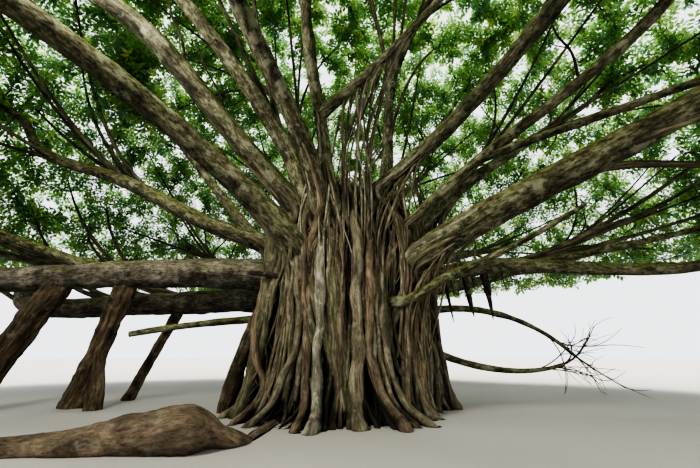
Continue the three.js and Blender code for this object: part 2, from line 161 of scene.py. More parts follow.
def sway_at(azimuth, height):
    """How far round the trunk the ribs have swayed at a height, in radians."""
    return RIB_SWAY * np.sin(height / SWAY_HEIGHT + SWAY_STAGGER * np.sin(SWAY_WAVES * azimuth))


def trunk_radius(azimuth, height):
    """How far out the ribbed trunk's surface lies at an azimuth in radians and a height."""
    azimuth, height = np.broadcast_arrays(np.asarray(azimuth, float), np.asarray(height, float))
    upright = azimuth.copy()
    for _ in range(SWAY_PASSES):
        upright = azimuth - sway_at(upright, height)
    turned = np.mod(upright - RIBS[0, 0], TURN) + RIBS[0, 0]
    index = np.clip(np.searchsorted(RIBS[:, 0], turned, side="right") - 1, 0, RIB_COUNT - 1)
    edges = np.append(RIBS[:, 0], RIBS[0, 0] + TURN)
    across = (turned - edges[index]) / (edges[index + 1] - edges[index])
    crest = np.sin(math.pi * np.clip(across, 0, 1)) ** CREST_ROUNDNESS
    fade = 1 - SHOULDER_FADE * np.maximum(0, (height - SHOULDER_HEIGHT) / (TRUNK_TOP - SHOULDER_HEIGHT))
    toe = TOE_REACH * RIBS[index, 2] * np.exp(-height / TOE_HEIGHT)
    return core_radius(azimuth, height) + crest * (RIB_DEPTH * RIBS[index, 1] * fade + toe)


def flank_hold(azimuth, height):
    """How much further in the feet stand on the trunk's
    left and right than its ribs alone would put them."""
    return FLANK_HOLD * np.cos(azimuth) ** 4 * np.exp(-height / TOE_HEIGHT)


def round_trunk(radius, azimuths, heights):
    """Points that far out from the trunk's middle, at azimuths in radians."""
    return np.stack([radius * np.cos(azimuths), radius * np.sin(azimuths), heights], -1)


def shape_mesh(name, points, faces, finishes, kinds=None, smooth=True, grain=None, cleft_shade=None):
    """One object from points and three-cornered faces. Kinds number each face's
    finish. Grain gives each point's place in the wood laid out straight, so
    that bark runs along its limb, and cleft_shade how much painted shade a point gets for how deep in a cleft
    it lies."""
    mesh = bpy.data.meshes.new(name)
    count = len(faces)
    mesh.vertices.add(len(points))
    mesh.vertices.foreach_set("co", np.asarray(points, np.float32).ravel())
    mesh.loops.add(3 * count)
    mesh.loops.foreach_set("vertex_index", np.asarray(faces, np.int32).ravel())
    mesh.polygons.add(count)
    mesh.polygons.foreach_set("loop_start", np.arange(0, 3 * count, 3, dtype=np.int32))
    for finish in finishes:
        mesh.materials.append(finish)
    if kinds is not None:
        mesh.polygons.foreach_set("material_index", np.asarray(kinds, np.int32))
    mesh.polygons.foreach_set("use_smooth", np.full(count, smooth))
    if grain is not None:
        layer = mesh.attributes.new("grain", "FLOAT_VECTOR", "POINT")
        layer.data.foreach_set("vector", np.asarray(grain, np.float32).ravel())
    if cleft_shade is not None:
        layer = mesh.attributes.new("cleft_shade", "FLOAT", "POINT")
        layer.data.foreach_set("value", np.asarray(cleft_shade, np.float32))
    mesh.update(calc_edges=True)
    piece = bpy.data.objects.new(name, mesh)
    bpy.context.collection.objects.link(piece)
    return piece


def grid_faces(rows, columns, first=0):
    """The faces between rings of points, each ring closed on itself."""
    a = first + np.arange((rows - 1) * columns).reshape(rows - 1, columns)
    b = np.roll(a, -1, axis=1)
    up = columns
    return np.concatenate([
        np.stack([a, b, b + up], -1).reshape(-1, 3),
        np.stack([a, b + up, a + up], -1).reshape(-1, 3),
    ])


LICHEN_GREY = (0.33, 0.34, 0.24)
MOSS_DARK = (0.050, 0.062, 0.014)
MOSS_LIGHT = (0.190, 0.200, 0.062)
# The black of the painted shade deep in the strands' clefts.
CLEFT_SHADE_BLACK = (0.010, 0.008, 0.005)
BARK_ROUGHNESS = 0.9
BARK_SHINE = 0.25
BUMP_STRENGTH = 0.8


def bark(name, dark, middle, pale, moss=0.0, lichen=0.3, streak=0.14, fineness=1.0, deep=0.014, spread=0.08,
         crack=0.30, blotch=0.42, underside_shade=0.0, cleft_shade_on=False):
    """Bark: three tones in streaks along the grain, darker blotches and cracks, pale lichen in
    patches, moss on what faces up, painted shade on what faces down, painted black shade in clefts, and fine
    relief."""
    material = bpy.data.materials.new(name)
    material.use_nodes = True
    nodes = material.node_tree.nodes
    links = material.node_tree.links
    shader = nodes["Principled BSDF"]
    shader.inputs["Roughness"].default_value = BARK_ROUGHNESS
    shader.inputs["Specular IOR Level"].default_value = BARK_SHINE
    place = nodes.new("ShaderNodeAttribute")
    place.attribute_name = "grain"
    stretch = nodes.new("ShaderNodeMapping")
    stretch.inputs["Scale"].default_value = (1, 1, streak)
    links.new(place.outputs["Vector"], stretch.inputs["Vector"])

    def noise(scale, detail, source):
        node = nodes.new("ShaderNodeTexNoise")
        node.inputs["Scale"].default_value = scale
        node.inputs["Detail"].default_value = detail
        node.inputs["Roughness"].default_value = 0.62
        links.new(source.outputs["Vector"], node.inputs["Vector"])
        return node.outputs["Fac"]

    def ramp(source, stops):
        node = nodes.new("ShaderNodeValToRGB")
        while len(node.color_ramp.elements) < len(stops):
            node.color_ramp.elements.new(0.5)
        for element, (at, colour) in zip(node.color_ramp.elements, stops):
            element.position = at
            element.color = (*colour, 1) if isinstance(colour, tuple) else (colour, colour, colour, 1)
        links.new(source, node.inputs["Fac"])
        return node.outputs["Color"]

    def mixed(share, first, second, way="MIX"):
        node = nodes.new("ShaderNodeMix")
        node.data_type = "RGBA"
        node.blend_type = way
        node.clamp_factor = True
        if isinstance(share, float):
            node.inputs["Factor"].default_value = share
        else:
            links.new(share, node.inputs["Factor"])
        links.new(first, node.inputs["A"])
        if isinstance(second, tuple):
            node.inputs["B"].default_value = (*second, 1)
        else:
            links.new(second, node.inputs["B"])
        return node.outputs["Result"]

    fine = noise(30.0 * fineness, 6.0, stretch)
    wide = noise(8.0 * fineness, 5.0, stretch)
    patchy = noise(5.0 * fineness, 9.0, place)
    facing = nodes.new("ShaderNodeNewGeometry")
    split = nodes.new("ShaderNodeSeparateXYZ")
    links.new(facing.outputs["Normal"], split.inputs["Vector"])

    def by_slope(low, high, start, end):
        node = nodes.new("ShaderNodeMapRange")
        node.inputs["From Min"].default_value = low
        node.inputs["From Max"].default_value = high
        node.inputs["To Min"].default_value = start
        node.inputs["To Max"].default_value = end
        links.new(split.outputs["Z"], node.inputs["Value"])
        return node.outputs["Result"]

    colour = ramp(mixed(0.5, fine, wide), [(0.5 - spread, dark), (0.50, middle), (0.5 + spread, pale)])
    colour = mixed(1.0, colour, ramp(noise(2.2, 5.0, place), [(0.36, blotch), (0.60, 1.12)]), "MULTIPLY")
    cracks = noise(55.0 * fineness, 4.0, stretch)
    colour = mixed(1.0, colour, ramp(cracks, [(0.36, crack), (0.46, 1.0)]), "MULTIPLY")
    if lichen > 0:
        colour = mixed(ramp(patchy, [(0.56, 0.0), (0.64, lichen)]), colour, LICHEN_GREY)
    if moss > 0:
        tufts = ramp(noise(4.2, 7.0, place), [(0.38, 0.10), (0.56, 1.0)])
        green = ramp(fine, [(0.40, MOSS_DARK), (0.60, MOSS_LIGHT)])
        colour = mixed(mixed(1.0, tufts, by_slope(-0.30, 0.80, 0.0, moss), "MULTIPLY"), colour, green)
    # Painted shade: darker on what faces down.
    if underside_shade > 0:
        colour = mixed(1.0, colour, by_slope(-0.75, 0.30, 1 - underside_shade, 1.0), "MULTIPLY")
    # Painted shade: nearly black deep in the clefts between the strands.
    if cleft_shade_on:
        cleft_shade = nodes.new("ShaderNodeAttribute")
        cleft_shade.attribute_name = "cleft_shade"
        colour = mixed(cleft_shade.outputs["Fac"], colour, CLEFT_SHADE_BLACK)
    links.new(colour, shader.inputs["Base Color"])
    relief = nodes.new("ShaderNodeBump")
    relief.inputs["Strength"].default_value = BUMP_STRENGTH
    relief.inputs["Distance"].default_value = deep
    links.new(mixed(0.35, fine, patchy), relief.inputs["Height"])
    links.new(relief.outputs["Normal"], shader.inputs["Normal"])
    return material


# The heart's bark is painted nearly black, as the shade in the gaps between the strands.
heart_painted_dark = bark("heart_bark_painted_shade", (0.010, 0.008, 0.005), (0.032, 0.025, 0.016), (0.075, 0.060, 0.040),
                  lichen=0.0)


def build_heart():
    """The heart as rings of points that sink behind the
    ribs' surface, roughened by lumps and slim cords."""
    heights = HEART_TOP * np.linspace(0, 1, HEART_ROWS)[:, None] ** FOOT_CROWDING
    azimuths = np.linspace(0, TURN, HEART_COLUMNS, endpoint=False)[None, :]
    azimuths, heights = np.broadcast_arrays(azimuths, heights)
    radius = trunk_radius(azimuths, heights) - flank_hold(azimuths, heights)
    radius = np.maximum(radius - HEART_SINK, LEAST_HEART_SHARE * radius)
    on_unit = np.stack([np.cos(azimuths), np.sin(azimuths), heights], -1)
    for seed, (depth, size) in enumerate(HEART_LUMPS, 1):
        radius = radius + depth * lumps(on_unit * HEART_STRETCH, size, seed)
    wander = 5 * lumps(on_unit * [0.9, 0.9, 0.6], 0.5, 3)
    radius = radius + HEART_CORD_DEPTH * np.abs(np.sin(0.5 * HEART_CORDS * azimuths + wander))
    points = round_trunk(radius, azimuths, heights)
    faces = grid_faces(HEART_ROWS, HEART_COLUMNS)
    ring = np.arange(HEART_COLUMNS)
    last = (HEART_ROWS - 1) * HEART_COLUMNS
    points = np.concatenate([points.reshape(-1, 3), [[0, 0, 0], [0, 0, HEART_TOP + HEART_CAP]]])
    under = np.stack([np.roll(ring, -1), ring, np.full(HEART_COLUMNS, len(points) - 2)], -1)
    over = np.stack([last + ring, last + np.roll(ring, -1), np.full(HEART_COLUMNS, len(points) - 1)], -1)
    faces = np.concatenate([faces, under, over])
    return shape_mesh("trunk_heart", points, faces, [heart_painted_dark], grain=points)


heart = build_heart()
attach(heart, "root")
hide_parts("trunk")


# The boughs: heavy limbs that leave the trunk's shoulder in a fan and run
# far out before they branch. Each is live wood under thin bark, olive and
# mossy on top, grey-brown below with painted shade on what faces down, and swells where it joins the trunk.
BUTT_SINK = 0.62
BUTT_DROP_SHARE = 0.3
STEM_LENGTH = 1.5
APPROACH = 0.45
ARRIVE_RISE = 12
ARRIVE_LIFT_SHARE = 0.8
TIP_SHARE = 0.36
LEAST_TIP = 0.058
TAPER_POWER = 0.9
BUTT_SWELL = 0.28
SWELL_LENGTH = 0.42
CROWN_REACH = 11.0
CROWN_STRETCH = 1.07
CROWN_BASE = 4.0
CROWN_HEIGHT = 8.7
CROWN_LIP = 1.7
CROWN_DEPTH = 2.9
CROWN_DEPTH_ON_TOP = 0.9
BOUGH_SIDES = 30
BOUGH_RING_EVERY = 0.07
LEAST_RINGS = 12
HEADING_STEP = 0.004
NEARLY_UPRIGHT = 0.2
UP = np.array([0.0, 0.0, 1.0])
LOW_BOUGH_PROUD = 0.20
LOW_TIP_SHARE = 0.62

# Name and butt radius; azimuth and height of the butt; azimuths, reaches and heights passed; the mass's
# azimuth and lift over the crown's base. Metres and degrees.
BOUGHS = [
    ("left_low_front", 0.250, (194, 2.20), [(184, 4.10, 2.26), (186, 7.00, 2.17)], (185, -5)),
    ("left_low_back", 0.215, (164, 1.87), [(170, 4.15, 1.85), (173, 6.80, 1.88)], (163, -4)),
    ("left_middle", 0.200, (190, 2.83), [(183, 2.70, 3.32), (181, 4.70, 4.33), (182, 6.30, 4.85)], (178, 25)),
    ("left_high_outer", 0.190, (244, 3.02), [(234, 2.55, 3.85), (226, 4.70, 5.35)], (213, 17)),
    ("left_front_main", 0.225, (243, 2.46), [(230, 2.50, 3.33), (230, 4.85, 4.20)], (236, 6)),
    ("left_high_steep", 0.170, (251, 3.01), [(240, 1.95, 4.15), (229, 3.65, 5.95)], (228, 40)),
    ("front_left_upright", 0.165, (257, 3.00), [(256, 2.10, 3.74), (250, 3.70, 5.00)], (259, 11)),
    ("front_upright", 0.115, (265, 2.98), [(261, 2.00, 4.16), (259, 2.90, 5.85)], (270, 42)),
    ("front_right_high", 0.155, (299, 3.55), [(311, 2.45, 4.24), (309, 3.95, 4.85)], (292, 10)),
    ("right_front_slender", 0.100, (311, 2.80), [(317, 2.65, 3.58), (319, 5.30, 4.95)], (322, 36)),
    ("right_main", 0.270, (318, 2.30), [(321, 2.60, 2.78), (319, 4.60, 3.30)], (316, 7)),
    ("right_low", 0.190, (12, 2.30), [(9, 3.20, 2.62), (354, 6.40, 2.35)], (350, -4)),
    ("right_back_low", 0.150, (30, 2.05), [(27, 4.30, 2.70)], (20, 8)),
    ("back_right", 0.210, (50, 2.50), [(46, 4.30, 3.50)], (48, 9)),
    ("back_middle_right", 0.220, (78, 2.35), [(74, 4.20, 3.15)], (76, 8)),
    ("back_middle_left", 0.215, (107, 2.55), [(108, 4.10, 3.50)], (104, 9)),
    ("back_left", 0.220, (134, 2.30), [(137, 4.30, 3.05)], (132, 8)),
    ("right_high", 0.165, (12, 3.20), [(8, 2.60, 4.35)], (10, 38)),
    ("back_right_high", 0.170, (62, 3.30), [(60, 2.50, 4.70)], (62, 40)),
    ("back_left_high", 0.170, (122, 3.25), [(120, 2.60, 4.60)], (118, 38)),
    ("top_right", 0.145, (15, 3.95), [(335, 1.20, 6.70)], (330, 70)),
    ("top_left", 0.150, (155, 3.85), [(150, 1.50, 6.50)], (150, 64)),
]


def heading(azimuth, rise):
    """The way at an azimuth and a rise in degrees."""
    a = math.radians(azimuth)
    r = math.radians(rise)
    return np.array([math.cos(r) * math.cos(a), math.cos(r) * math.sin(a), math.sin(r)])


def out_at(azimuth, reach, height):
    """The place at an azimuth in degrees, so far out from the trunk's middle and so high."""
    a = math.radians(azimuth)
    return np.array([reach * math.cos(a), reach * math.sin(a), height])


class Line:
    """A smooth line in space, asked for places and headings by the share of its length."""

    def __init__(self, dense):
        self.points = np.asarray(dense, float)
        steps = np.linalg.norm(np.diff(self.points, axis=0), axis=1)
        self.run = np.concatenate([[0], np.cumsum(steps)])
        self.length = self.run[-1]

    def at(self, shares):
        want = np.clip(np.asarray(shares, float), 0, 1) * self.length
        return np.stack([np.interp(want, self.run, self.points[:, k]) for k in range(3)], -1)

    def along(self, shares):
        s = np.asarray(shares, float)
        way = self.at(np.minimum(s + HEADING_STEP, 1)) - self.at(np.maximum(s - HEADING_STEP, 0))
        return way / np.linalg.norm(way, axis=-1, keepdims=True)


def through(points, dense=400):
    """The line through those points, in even bends: a centripetal spline."""
    p = [np.asarray(q, float) for q in points]
    last = len(p) - 1
    rows = []
    for t in np.linspace(0, last, dense):
        i = min(int(t), last - 1)
        w = t - i
        b, c = p[i], p[i + 1]
        a = p[i - 1] if i > 0 else 2 * b - c
        d = p[i + 2] if i + 2 <= last else 2 * c - b
        ab, bc, cd = (np.linalg.norm(v) ** 0.5 for v in (b - a, c - b, d - c))
        start = bc * ((b - a) / ab - (c - a) / (ab + bc) + (c - b) / bc)
        end = bc * ((c - b) / bc - (d - b) / (bc + cd) + (d - c) / cd)
        square = -3 * b + 3 * c - 2 * start - end
        cube = 2 * b - 2 * c + start + end
        rows.append(b + start * w + square * w**2 + cube * w**3)
    return Line(rows)


def bent(start, middle, end, dense=60):
    """A single even bend from start to end, pulled towards the middle point."""
    t = np.linspace(0, 1, dense)[:, None]
    return Line((1 - t) ** 2 * start + 2 * t * (1 - t) * middle + t**2 * end)


def mass_centre(azimuth, lift):
    """The middle of a mass of foliage, halfway into the crown's depth."""
    depth = CROWN_DEPTH / 2
    flat = (CROWN_REACH - depth) * math.cos(math.radians(lift))
    a = math.radians(azimuth)
    tall = (CROWN_HEIGHT - CROWN_DEPTH_ON_TOP * depth) * math.sin(math.radians(lift))
    return np.array([CROWN_STRETCH * flat * math.cos(a), flat * math.sin(a), CROWN_BASE + tall])


def trunk_surface(azimuth, height):
    """The place halfway up the ribs at an azimuth in degrees and a height."""
    core = float(core_radius(math.radians(azimuth), height))
    return out_at(azimuth, core + 0.5 * RIB_DEPTH, height)


def bough_line(butt_at, passes, mass_at):
    """A bough's line from inside the trunk through its butt and the places it passes to its mass's stem."""
    butt = trunk_surface(*butt_at)
    buried = max(0, math.hypot(butt[0], butt[1]) - BUTT_SINK)
    inside = out_at(butt_at[0], buried, butt_at[1] - BUTT_DROP_SHARE * BUTT_SINK)
    arrive = heading(mass_at[0], ARRIVE_RISE + ARRIVE_LIFT_SHARE * mass_at[1])
    end = mass_centre(*mass_at) - STEM_LENGTH * arrive
    return through([inside, butt, *[out_at(*p) for p in passes], end - APPROACH * arrive, end])


def taper(butt, tip, length):
    """A limb's radius by the share of its length: an even taper, with a swelling at the butt."""

    def radius(shares):
        s = np.asarray(shares, float)
        return (butt + (tip - butt) * s**TAPER_POWER) * (1 + BUTT_SWELL * np.exp(-s * length / SWELL_LENGTH))

    return radius


def frames_along(line, shares):
    """At each share: the place, and two ways square to the line that don't twist from one to the next."""
    centres = line.at(shares)
    ways = line.along(shares)
    first = np.cross(ways[0], UP)
    if np.linalg.norm(first) < NEARLY_UPRIGHT:
        first = np.cross(ways[0], [1.0, 0.0, 0.0])
    sides = []
    for way in ways:
        first = first - way * np.dot(first, way)
        first = first / np.linalg.norm(first)
        sides.append(first)
    sides = np.array(sides)
    return centres, sides, np.cross(ways, sides)


def all_round(side, up, turn):
    """The way out from a line at each turn round it, from two ways square to the line."""
    return np.cos(turn)[..., None] * side + np.sin(turn)[..., None] * up


def tube(line, shares, radii, sides, swell=None, batch=0):
    """Points, faces and grain of a closed tube along a line. Swell gives each point's relief
    as a share of the radius, and batch sets the bark apart from that of other tubes."""
    centres, side, up = frames_along(line, shares)
    turn = np.linspace(0, TURN, sides, endpoint=False)
    out = all_round(side[:, None], up[:, None], turn[None, :])
    radii = np.broadcast_to(np.asarray(radii)[:, None], (len(shares), sides))
    points = centres[:, None] + radii[..., None] * out
    if swell is not None:
        points = points + (radii * swell(points, turn[None, :], shares[:, None]))[..., None] * out
    rings = len(shares)
    faces = grid_faces(rings, sides)
    points = np.concatenate([points.reshape(-1, 3), [centres[0], centres[-1]]])
    ring = np.arange(sides)
    start = np.stack([np.roll(ring, -1), ring, np.full(sides, rings * sides)], -1)
    last = (rings - 1) * sides
    end = np.stack([last + ring, last + np.roll(ring, -1), np.full(sides, rings * sides + 1)], -1)
    along = np.repeat((shares * line.length)[:, None], sides, axis=1)
    grain = np.stack([radii * np.cos(turn), radii * np.sin(turn), along], -1).reshape(-1, 3)
    grain = np.concatenate([grain, [[0, 0, 0], [0, 0, line.length]]]) + [3.7 * batch, 1.3 * batch, 0]
    return points, np.concatenate([faces, start, end]), grain


def cut_at_ground(points, rings, sides):
    """Ends each side of a tube that goes down where it
    meets the ground, so that none of it lies flat there."""
    grid = points[: rings * sides].reshape(rings, sides, 3)
    for ring in range(1, rings):
        above, here = grid[ring - 1], grid[ring]
        share = np.clip(above[:, 2] / np.maximum(above[:, 2] - here[:, 2], 1e-9), 0, 1)
        grid[ring] = np.where(here[:, 2:] < 0, above + share[:, None] * (here - above), here)
    return np.concatenate([grid.reshape(-1, 3), points[-2:-1], [grid[-1].mean(axis=0)]])


def bough_relief(seed, proud=0.0):
    """Long soft ridges, where roots and wood run along the limb, over lumps, knots and fine cracks."""

    def relief(points, turn, shares):
        twist = 2.4 * shares + seed
        ridges = 0.045 * np.sin(3 * turn + 2 * twist) + 0.03 * np.sin(5 * turn - 3 * twist + 1.3 * seed)
        knots = np.maximum(0, lumps(points, 0.42, seed + 5) - 0.45) * 0.45
        cracks = 0.05 * lumps(points, 0.085, seed + 9)
        return proud + ridges + 0.10 * lumps(points, 0.30, seed) + cracks + knots

    return relief


# Both bough barks take painted shade on what faces down.
bough_bark = bark("bark_on_boughs", (0.030, 0.029, 0.016), (0.122, 0.119, 0.068), (0.29, 0.29, 0.19),
                  moss=1.0, lichen=0.6, streak=0.4, fineness=0.9, deep=0.02, spread=0.10, underside_shade=0.45)
low_bough_bark = bark("bark_on_low_boughs", (0.045, 0.039, 0.030), (0.150, 0.132, 0.100), (0.30, 0.28, 0.225),
                      moss=0.35, lichen=0.3, streak=0.3, deep=0.02, spread=0.12, underside_shade=0.55)

# Each limb's line and radius by its name, for the pieces that start from it.
limbs = {}


def build_limb(name, line, radius_at, finish, sides=BOUGH_SIDES, ring_every=BOUGH_RING_EVERY,
               relief=None, rooted=False):
    """A limb's mesh along its line, in place of the solid
    of the same name. A rooted one ends at the ground."""
    number = len(limbs)
    shares = np.linspace(0, 1, max(LEAST_RINGS, int(line.length / ring_every)))
    relief = relief or bough_relief(number)
    points, faces, grain = tube(line, shares, radius_at(shares), sides, relief, number)
    if rooted:
        points = cut_at_ground(points, len(shares), sides)
    points[:, 2] = np.maximum(points[:, 2], 0)
    piece = shape_mesh(name + "_bark", points, faces, [finish], grain=grain)
    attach(piece, "root")
    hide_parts(name)
    limbs[name] = (line, radius_at)


for name, butt, butt_at, passes, mass_at in BOUGHS:
    line = bough_line(butt_at, passes, mass_at)
    low = name.startswith("left_low")
    tip = max(LEAST_TIP, (LOW_TIP_SHARE if low else TIP_SHARE) * butt)
    build_limb(name, line, taper(butt, tip, line.length), low_bough_bark if low else bough_bark,
               relief=bough_relief(len(limbs), LOW_BOUGH_PROUD if low else 0.0))


# The lesser limbs: forks that leave a bough and thin limbs low on the trunk, two of them drooping
# and one dead and broken off short. They are the same wood, slimmer, and most run nearly level.
LIMB_SIDES = 16
LIMB_RING_EVERY = 0.06
LIMB_SINK_SHARE = 0.6
STEPS_STEERED = 8

# Name; the bough it leaves, or None for the trunk; the share along that bough, or the butt's azimuth
# and height; heading, rise, length, turn and change of rise; butt and tip radius. Metres and degrees.
LIMBS = [
    ("left_low_fork", "left_low_front", 0.42, 196, 14, 4.2, -14, 16, 0.105, 0.055),
    ("left_middle_fork", "left_middle", 0.12, 176, 50, 4.3, 6, 0, 0.105, 0.050),
    ("front_fork", "front_upright", 0.29, 338, 31, 4.2, -14, 12, 0.085, 0.045),
    ("right_slender_fork", "right_front_slender", 0.30, 328, 6, 4.6, 4, 0, 0.062, 0.038),
    ("right_low_fork", "right_low", 0.36, 356, 10, 4.3, 6, 4, 0.095, 0.050),
    ("right_front_limb", None, (307, 1.70), 335, 12, 3.3, -10, 14, 0.088, 0.028),
    ("right_drooping_limb", None, (30, 1.50), 8, 20, 4.5, 10, -58, 0.095, 0.034),
    ("right_ground_limb", None, (36, 1.42), 4, -34, 4.2, 16, 46, 0.090, 0.036),
    ("left_broken_limb", None, (168, 1.52), 186, -2, 3.0, -6, -8, 0.075, 0.055),
]

# The front limb's butt bulges out between the strands before it swings to the right.
FRONT_LIMB_BUTT = [out_at(302, 1.30, 1.62), out_at(305.5, 1.66, 1.62)]
FRONT_LIMB_REST = [0.36, 0.5, 0.66, 0.83, 1.0]


def steered(start, aim, rise, length, turn, lift):
    """A line whose heading and rise change evenly as it goes."""
    points = [np.asarray(start, float)]
    for k in range(STEPS_STEERED):
        t = (k + 0.5) / STEPS_STEERED
        points.append(points[-1] + heading(aim + turn * t, rise + lift * t) * length / STEPS_STEERED)
    return through(points, 240)


for name, base, place, aim, rise, length, turn, lift, butt, tip in LIMBS:
    if base:
        start = limbs[base][0].at(place)
    else:
        start = trunk_surface(*place) - LIMB_SINK_SHARE * BUTT_SINK * heading(place[0], 0)
    line = steered(start, aim, rise, length, turn, lift)
    if name == "right_front_limb":
        line = through([*FRONT_LIMB_BUTT, *line.at(FRONT_LIMB_REST)])
    build_limb(name, line, taper(butt, tip, length), bough_bark, LIMB_SIDES, LIMB_RING_EVERY)


# The pillar roots: aerial roots that grew down from the low boughs on the
# left, took to the ground and thickened into props. They are brown, lean
# outwards, and spread a little where they meet the bough and the ground.
root_bark = bark("bark_on_roots", (0.020, 0.014, 0.009), (0.075, 0.052, 0.033), (0.17, 0.125, 0.08),
                 moss=0.2, lichen=0.2, deep=0.025, spread=0.11)
PROP_SIDES = 34
ROOT_RING_EVERY = 0.04
PROP_DEPTH = 0.2
INNER_LEG_FROM = 0.50
INNER_LEG_FOOT = (-4.05, -0.42, -0.15)
INNER_LEG_BOW = [0.10, -0.05, 0.0]
INNER_LEG_RINGS = 40
INNER_LEG_SIDES = 24

# Name; the bough; the share along it; the foot's place; top and foot radius.
PROPS = [
    ("pillar_root_outer", "left_low_front", 0.525, (-5.85, -0.95), 0.180, 0.235),
    ("pillar_root_inner", "left_low_front", 0.39, (-4.65, -0.10), 0.140, 0.190),
    ("pillar_root_back", "left_low_back", 0.30, (-4.35, 0.90), 0.080, 0.100),
]


def fissured(seed):
    """Deep grooves that twist round a root where thinner ones fused into it, over lumps."""

    def relief(points, turn, shares):
        twist = 1.6 * shares + seed
        grooves = 0.16 * np.abs(np.sin(2.5 * turn + 2 * twist))
        grooves = grooves + 0.12 * np.abs(np.sin(4 * turn - 3 * twist)) - 0.16
        return grooves + 0.16 * lumps(points, 0.22, seed) + 0.07 * lumps(points, 0.07, seed + 4)

    return relief


for name, base, share, foot_at, top, foot in PROPS:
    head = limbs[base][0].at(share)
    middle = [0.45 * head[0] + 0.55 * foot_at[0], 0.5 * head[1] + 0.5 * foot_at[1], 0.42 * head[2]]
    line = bent(head, np.array(middle), np.array([*foot_at, -PROP_DEPTH]))

    def prop_radius(shares, top=top, foot=foot):
        s = np.asarray(shares, float)
        spread = 0.5 * top * np.exp(-5 * s) + 0.35 * foot * np.exp(-(1 - s) * 14)
        return (top + (foot - top) * s**2 + spread) * np.minimum(1, 0.5 + 4.5 * s)

    build_limb(name, line, prop_radius, root_bark, PROP_SIDES, ROOT_RING_EVERY,
               relief=fissured(len(limbs)), rooted=True)

leg_head = limbs["pillar_root_inner"][0].at(INNER_LEG_FROM)
leg_foot = np.array(INNER_LEG_FOOT)
leg_line = bent(leg_head, 0.5 * (leg_head + leg_foot) + INNER_LEG_BOW, leg_foot)
leg_shares = np.linspace(0, 1, INNER_LEG_RINGS)
leg_radii = 0.085 + 0.07 * leg_shares**2
leg_points, leg_faces, leg_grain = tube(leg_line, leg_shares, leg_radii, INNER_LEG_SIDES, fissured(9), 33)
leg_points = cut_at_ground(leg_points, INNER_LEG_RINGS, INNER_LEG_SIDES)
inner_leg = shape_mesh("pillar_root_inner_leg", leg_points, leg_faces, [root_bark], grain=leg_grain)
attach(inner_leg, "root")
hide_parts("pillar_root_inner")


# The hanging roots: a bunch of soft dark brown roots that grow down from the low bough on
# the right. They hang free, nearly straight down, are 3 to 13 cm thick and end in points.
class Joined:
    """Points, faces, grain and finish numbers of many small things that end up as one mesh."""

    def __init__(self):
        self.points = []
        self.faces = []
        self.grains = []
        self.kinds = []
        self.count = 0

    def add(self, points, faces, grain=None, kind=0):
        self.points.append(points)
        self.faces.append(faces + self.count)
        self.grains.append(grain)
        self.kinds.append(np.full(len(faces), kind) if np.isscalar(kind) else kind)
        self.count += len(points)

    def made(self, name, finishes, smooth=True, cleft_shade_at=None):
        points = np.concatenate(self.points)
        faces = np.concatenate(self.faces)
        grain = None if self.grains[0] is None else np.concatenate(self.grains)
        cleft_shade = None if cleft_shade_at is None else cleft_shade_at(points)
        return shape_mesh(name, points, faces, finishes, np.concatenate(self.kinds), smooth, grain, cleft_shade)


# The share along the low bough on the right, length and radius of each, in metres.
HANGING = [
    (0.150, 1.00, 0.036),
    (0.168, 0.55, 0.020),
    (0.205, 0.98, 0.066),
    (0.222, 0.50, 0.020),
    (0.250, 1.08, 0.062),
    (0.262, 0.62, 0.022),
    (0.300, 0.45, 0.016),
]
HANGING_SLANT = 0.13
HANGING_RINGS = 26
HANGING_SIDES = 9
HANGING_POINTED = 0.9
HANGING_SEEDS = 60
hanging_bark = bark("bark_on_hanging_roots", (0.012, 0.009, 0.007), (0.034, 0.027, 0.020),
                    (0.085, 0.070, 0.052))
hanging = Joined()
shares = np.linspace(0, 1, HANGING_RINGS)
for k, (share, length, radius) in enumerate(HANGING):
    head = limbs["right_low"][0].at(share)
    foot = head + np.array([HANGING_SLANT * length, 0.02, -length])
    bow = np.array([0.04 * math.sin(5 * k), 0.03 * math.cos(4 * k), 0])
    line = bent(head, (head + foot) / 2 + bow, foot)
    radii = radius * (1 - HANGING_POINTED * shares**3)
    hanging.add(*tube(line, shares, radii, HANGING_SIDES, bough_relief(HANGING_SEEDS + k), k))
hanging_piece = hanging.made("hanging_roots_bark", [hanging_bark])
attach(hanging_piece, "root")
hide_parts("hanging_roots")


# The loose roots at the foot: one in dark bark that leans against the trunk's left side, and one that
# snakes over the ground with a high knee in it. The second is brown wood worn nearly bare by feet and rain.
LEANING_SIDES = 18
LEANING_THICK = 0.09
LEANING_SPREAD = 0.05
leaning = bent(out_at(201, 1.38, 1.9), out_at(200, 1.80, 1.0), out_at(199, 1.96, -0.15))
build_limb("leaning_root", leaning, lambda s: LEANING_THICK + LEANING_SPREAD * np.asarray(s), root_bark,
           LEANING_SIDES, ROOT_RING_EVERY, rooted=True)

KNEE_SIDES = 44
KNEE_RING_EVERY = 0.025

# The snaking root's line, from the trunk's foot over the knee and away to the left, in metres.
KNEE = [
    (-0.88, -1.50, -0.04),
    (-0.93, -2.10, -0.06),
    (-0.97, -2.50, -0.05),
    (-1.06, -2.80, 0.06),
    (-1.34, -2.96, 0.165),
    (-1.85, -3.00, 0.10),
    (-2.50, -3.04, 0.035),
    (-3.30, -3.16, 0.0),
    (-4.05, -3.38, -0.04),
    (-4.50, -3.55, -0.10),
]


def knee_radius(shares):
    """Stout and blunt at the knee, slimmer towards the
    far end, and a mere cord on the trunk's side of it."""
    s = np.asarray(shares, float)
    swollen = 1 / (1 + np.exp(-(s - 0.325) / 0.012)) * np.exp(-((np.maximum(s - 0.40, 0) / 0.17) ** 2))
    return 0.095 + 0.125 * swollen + 0.035 * np.exp(-(((s - 0.72) / 0.15) ** 2))


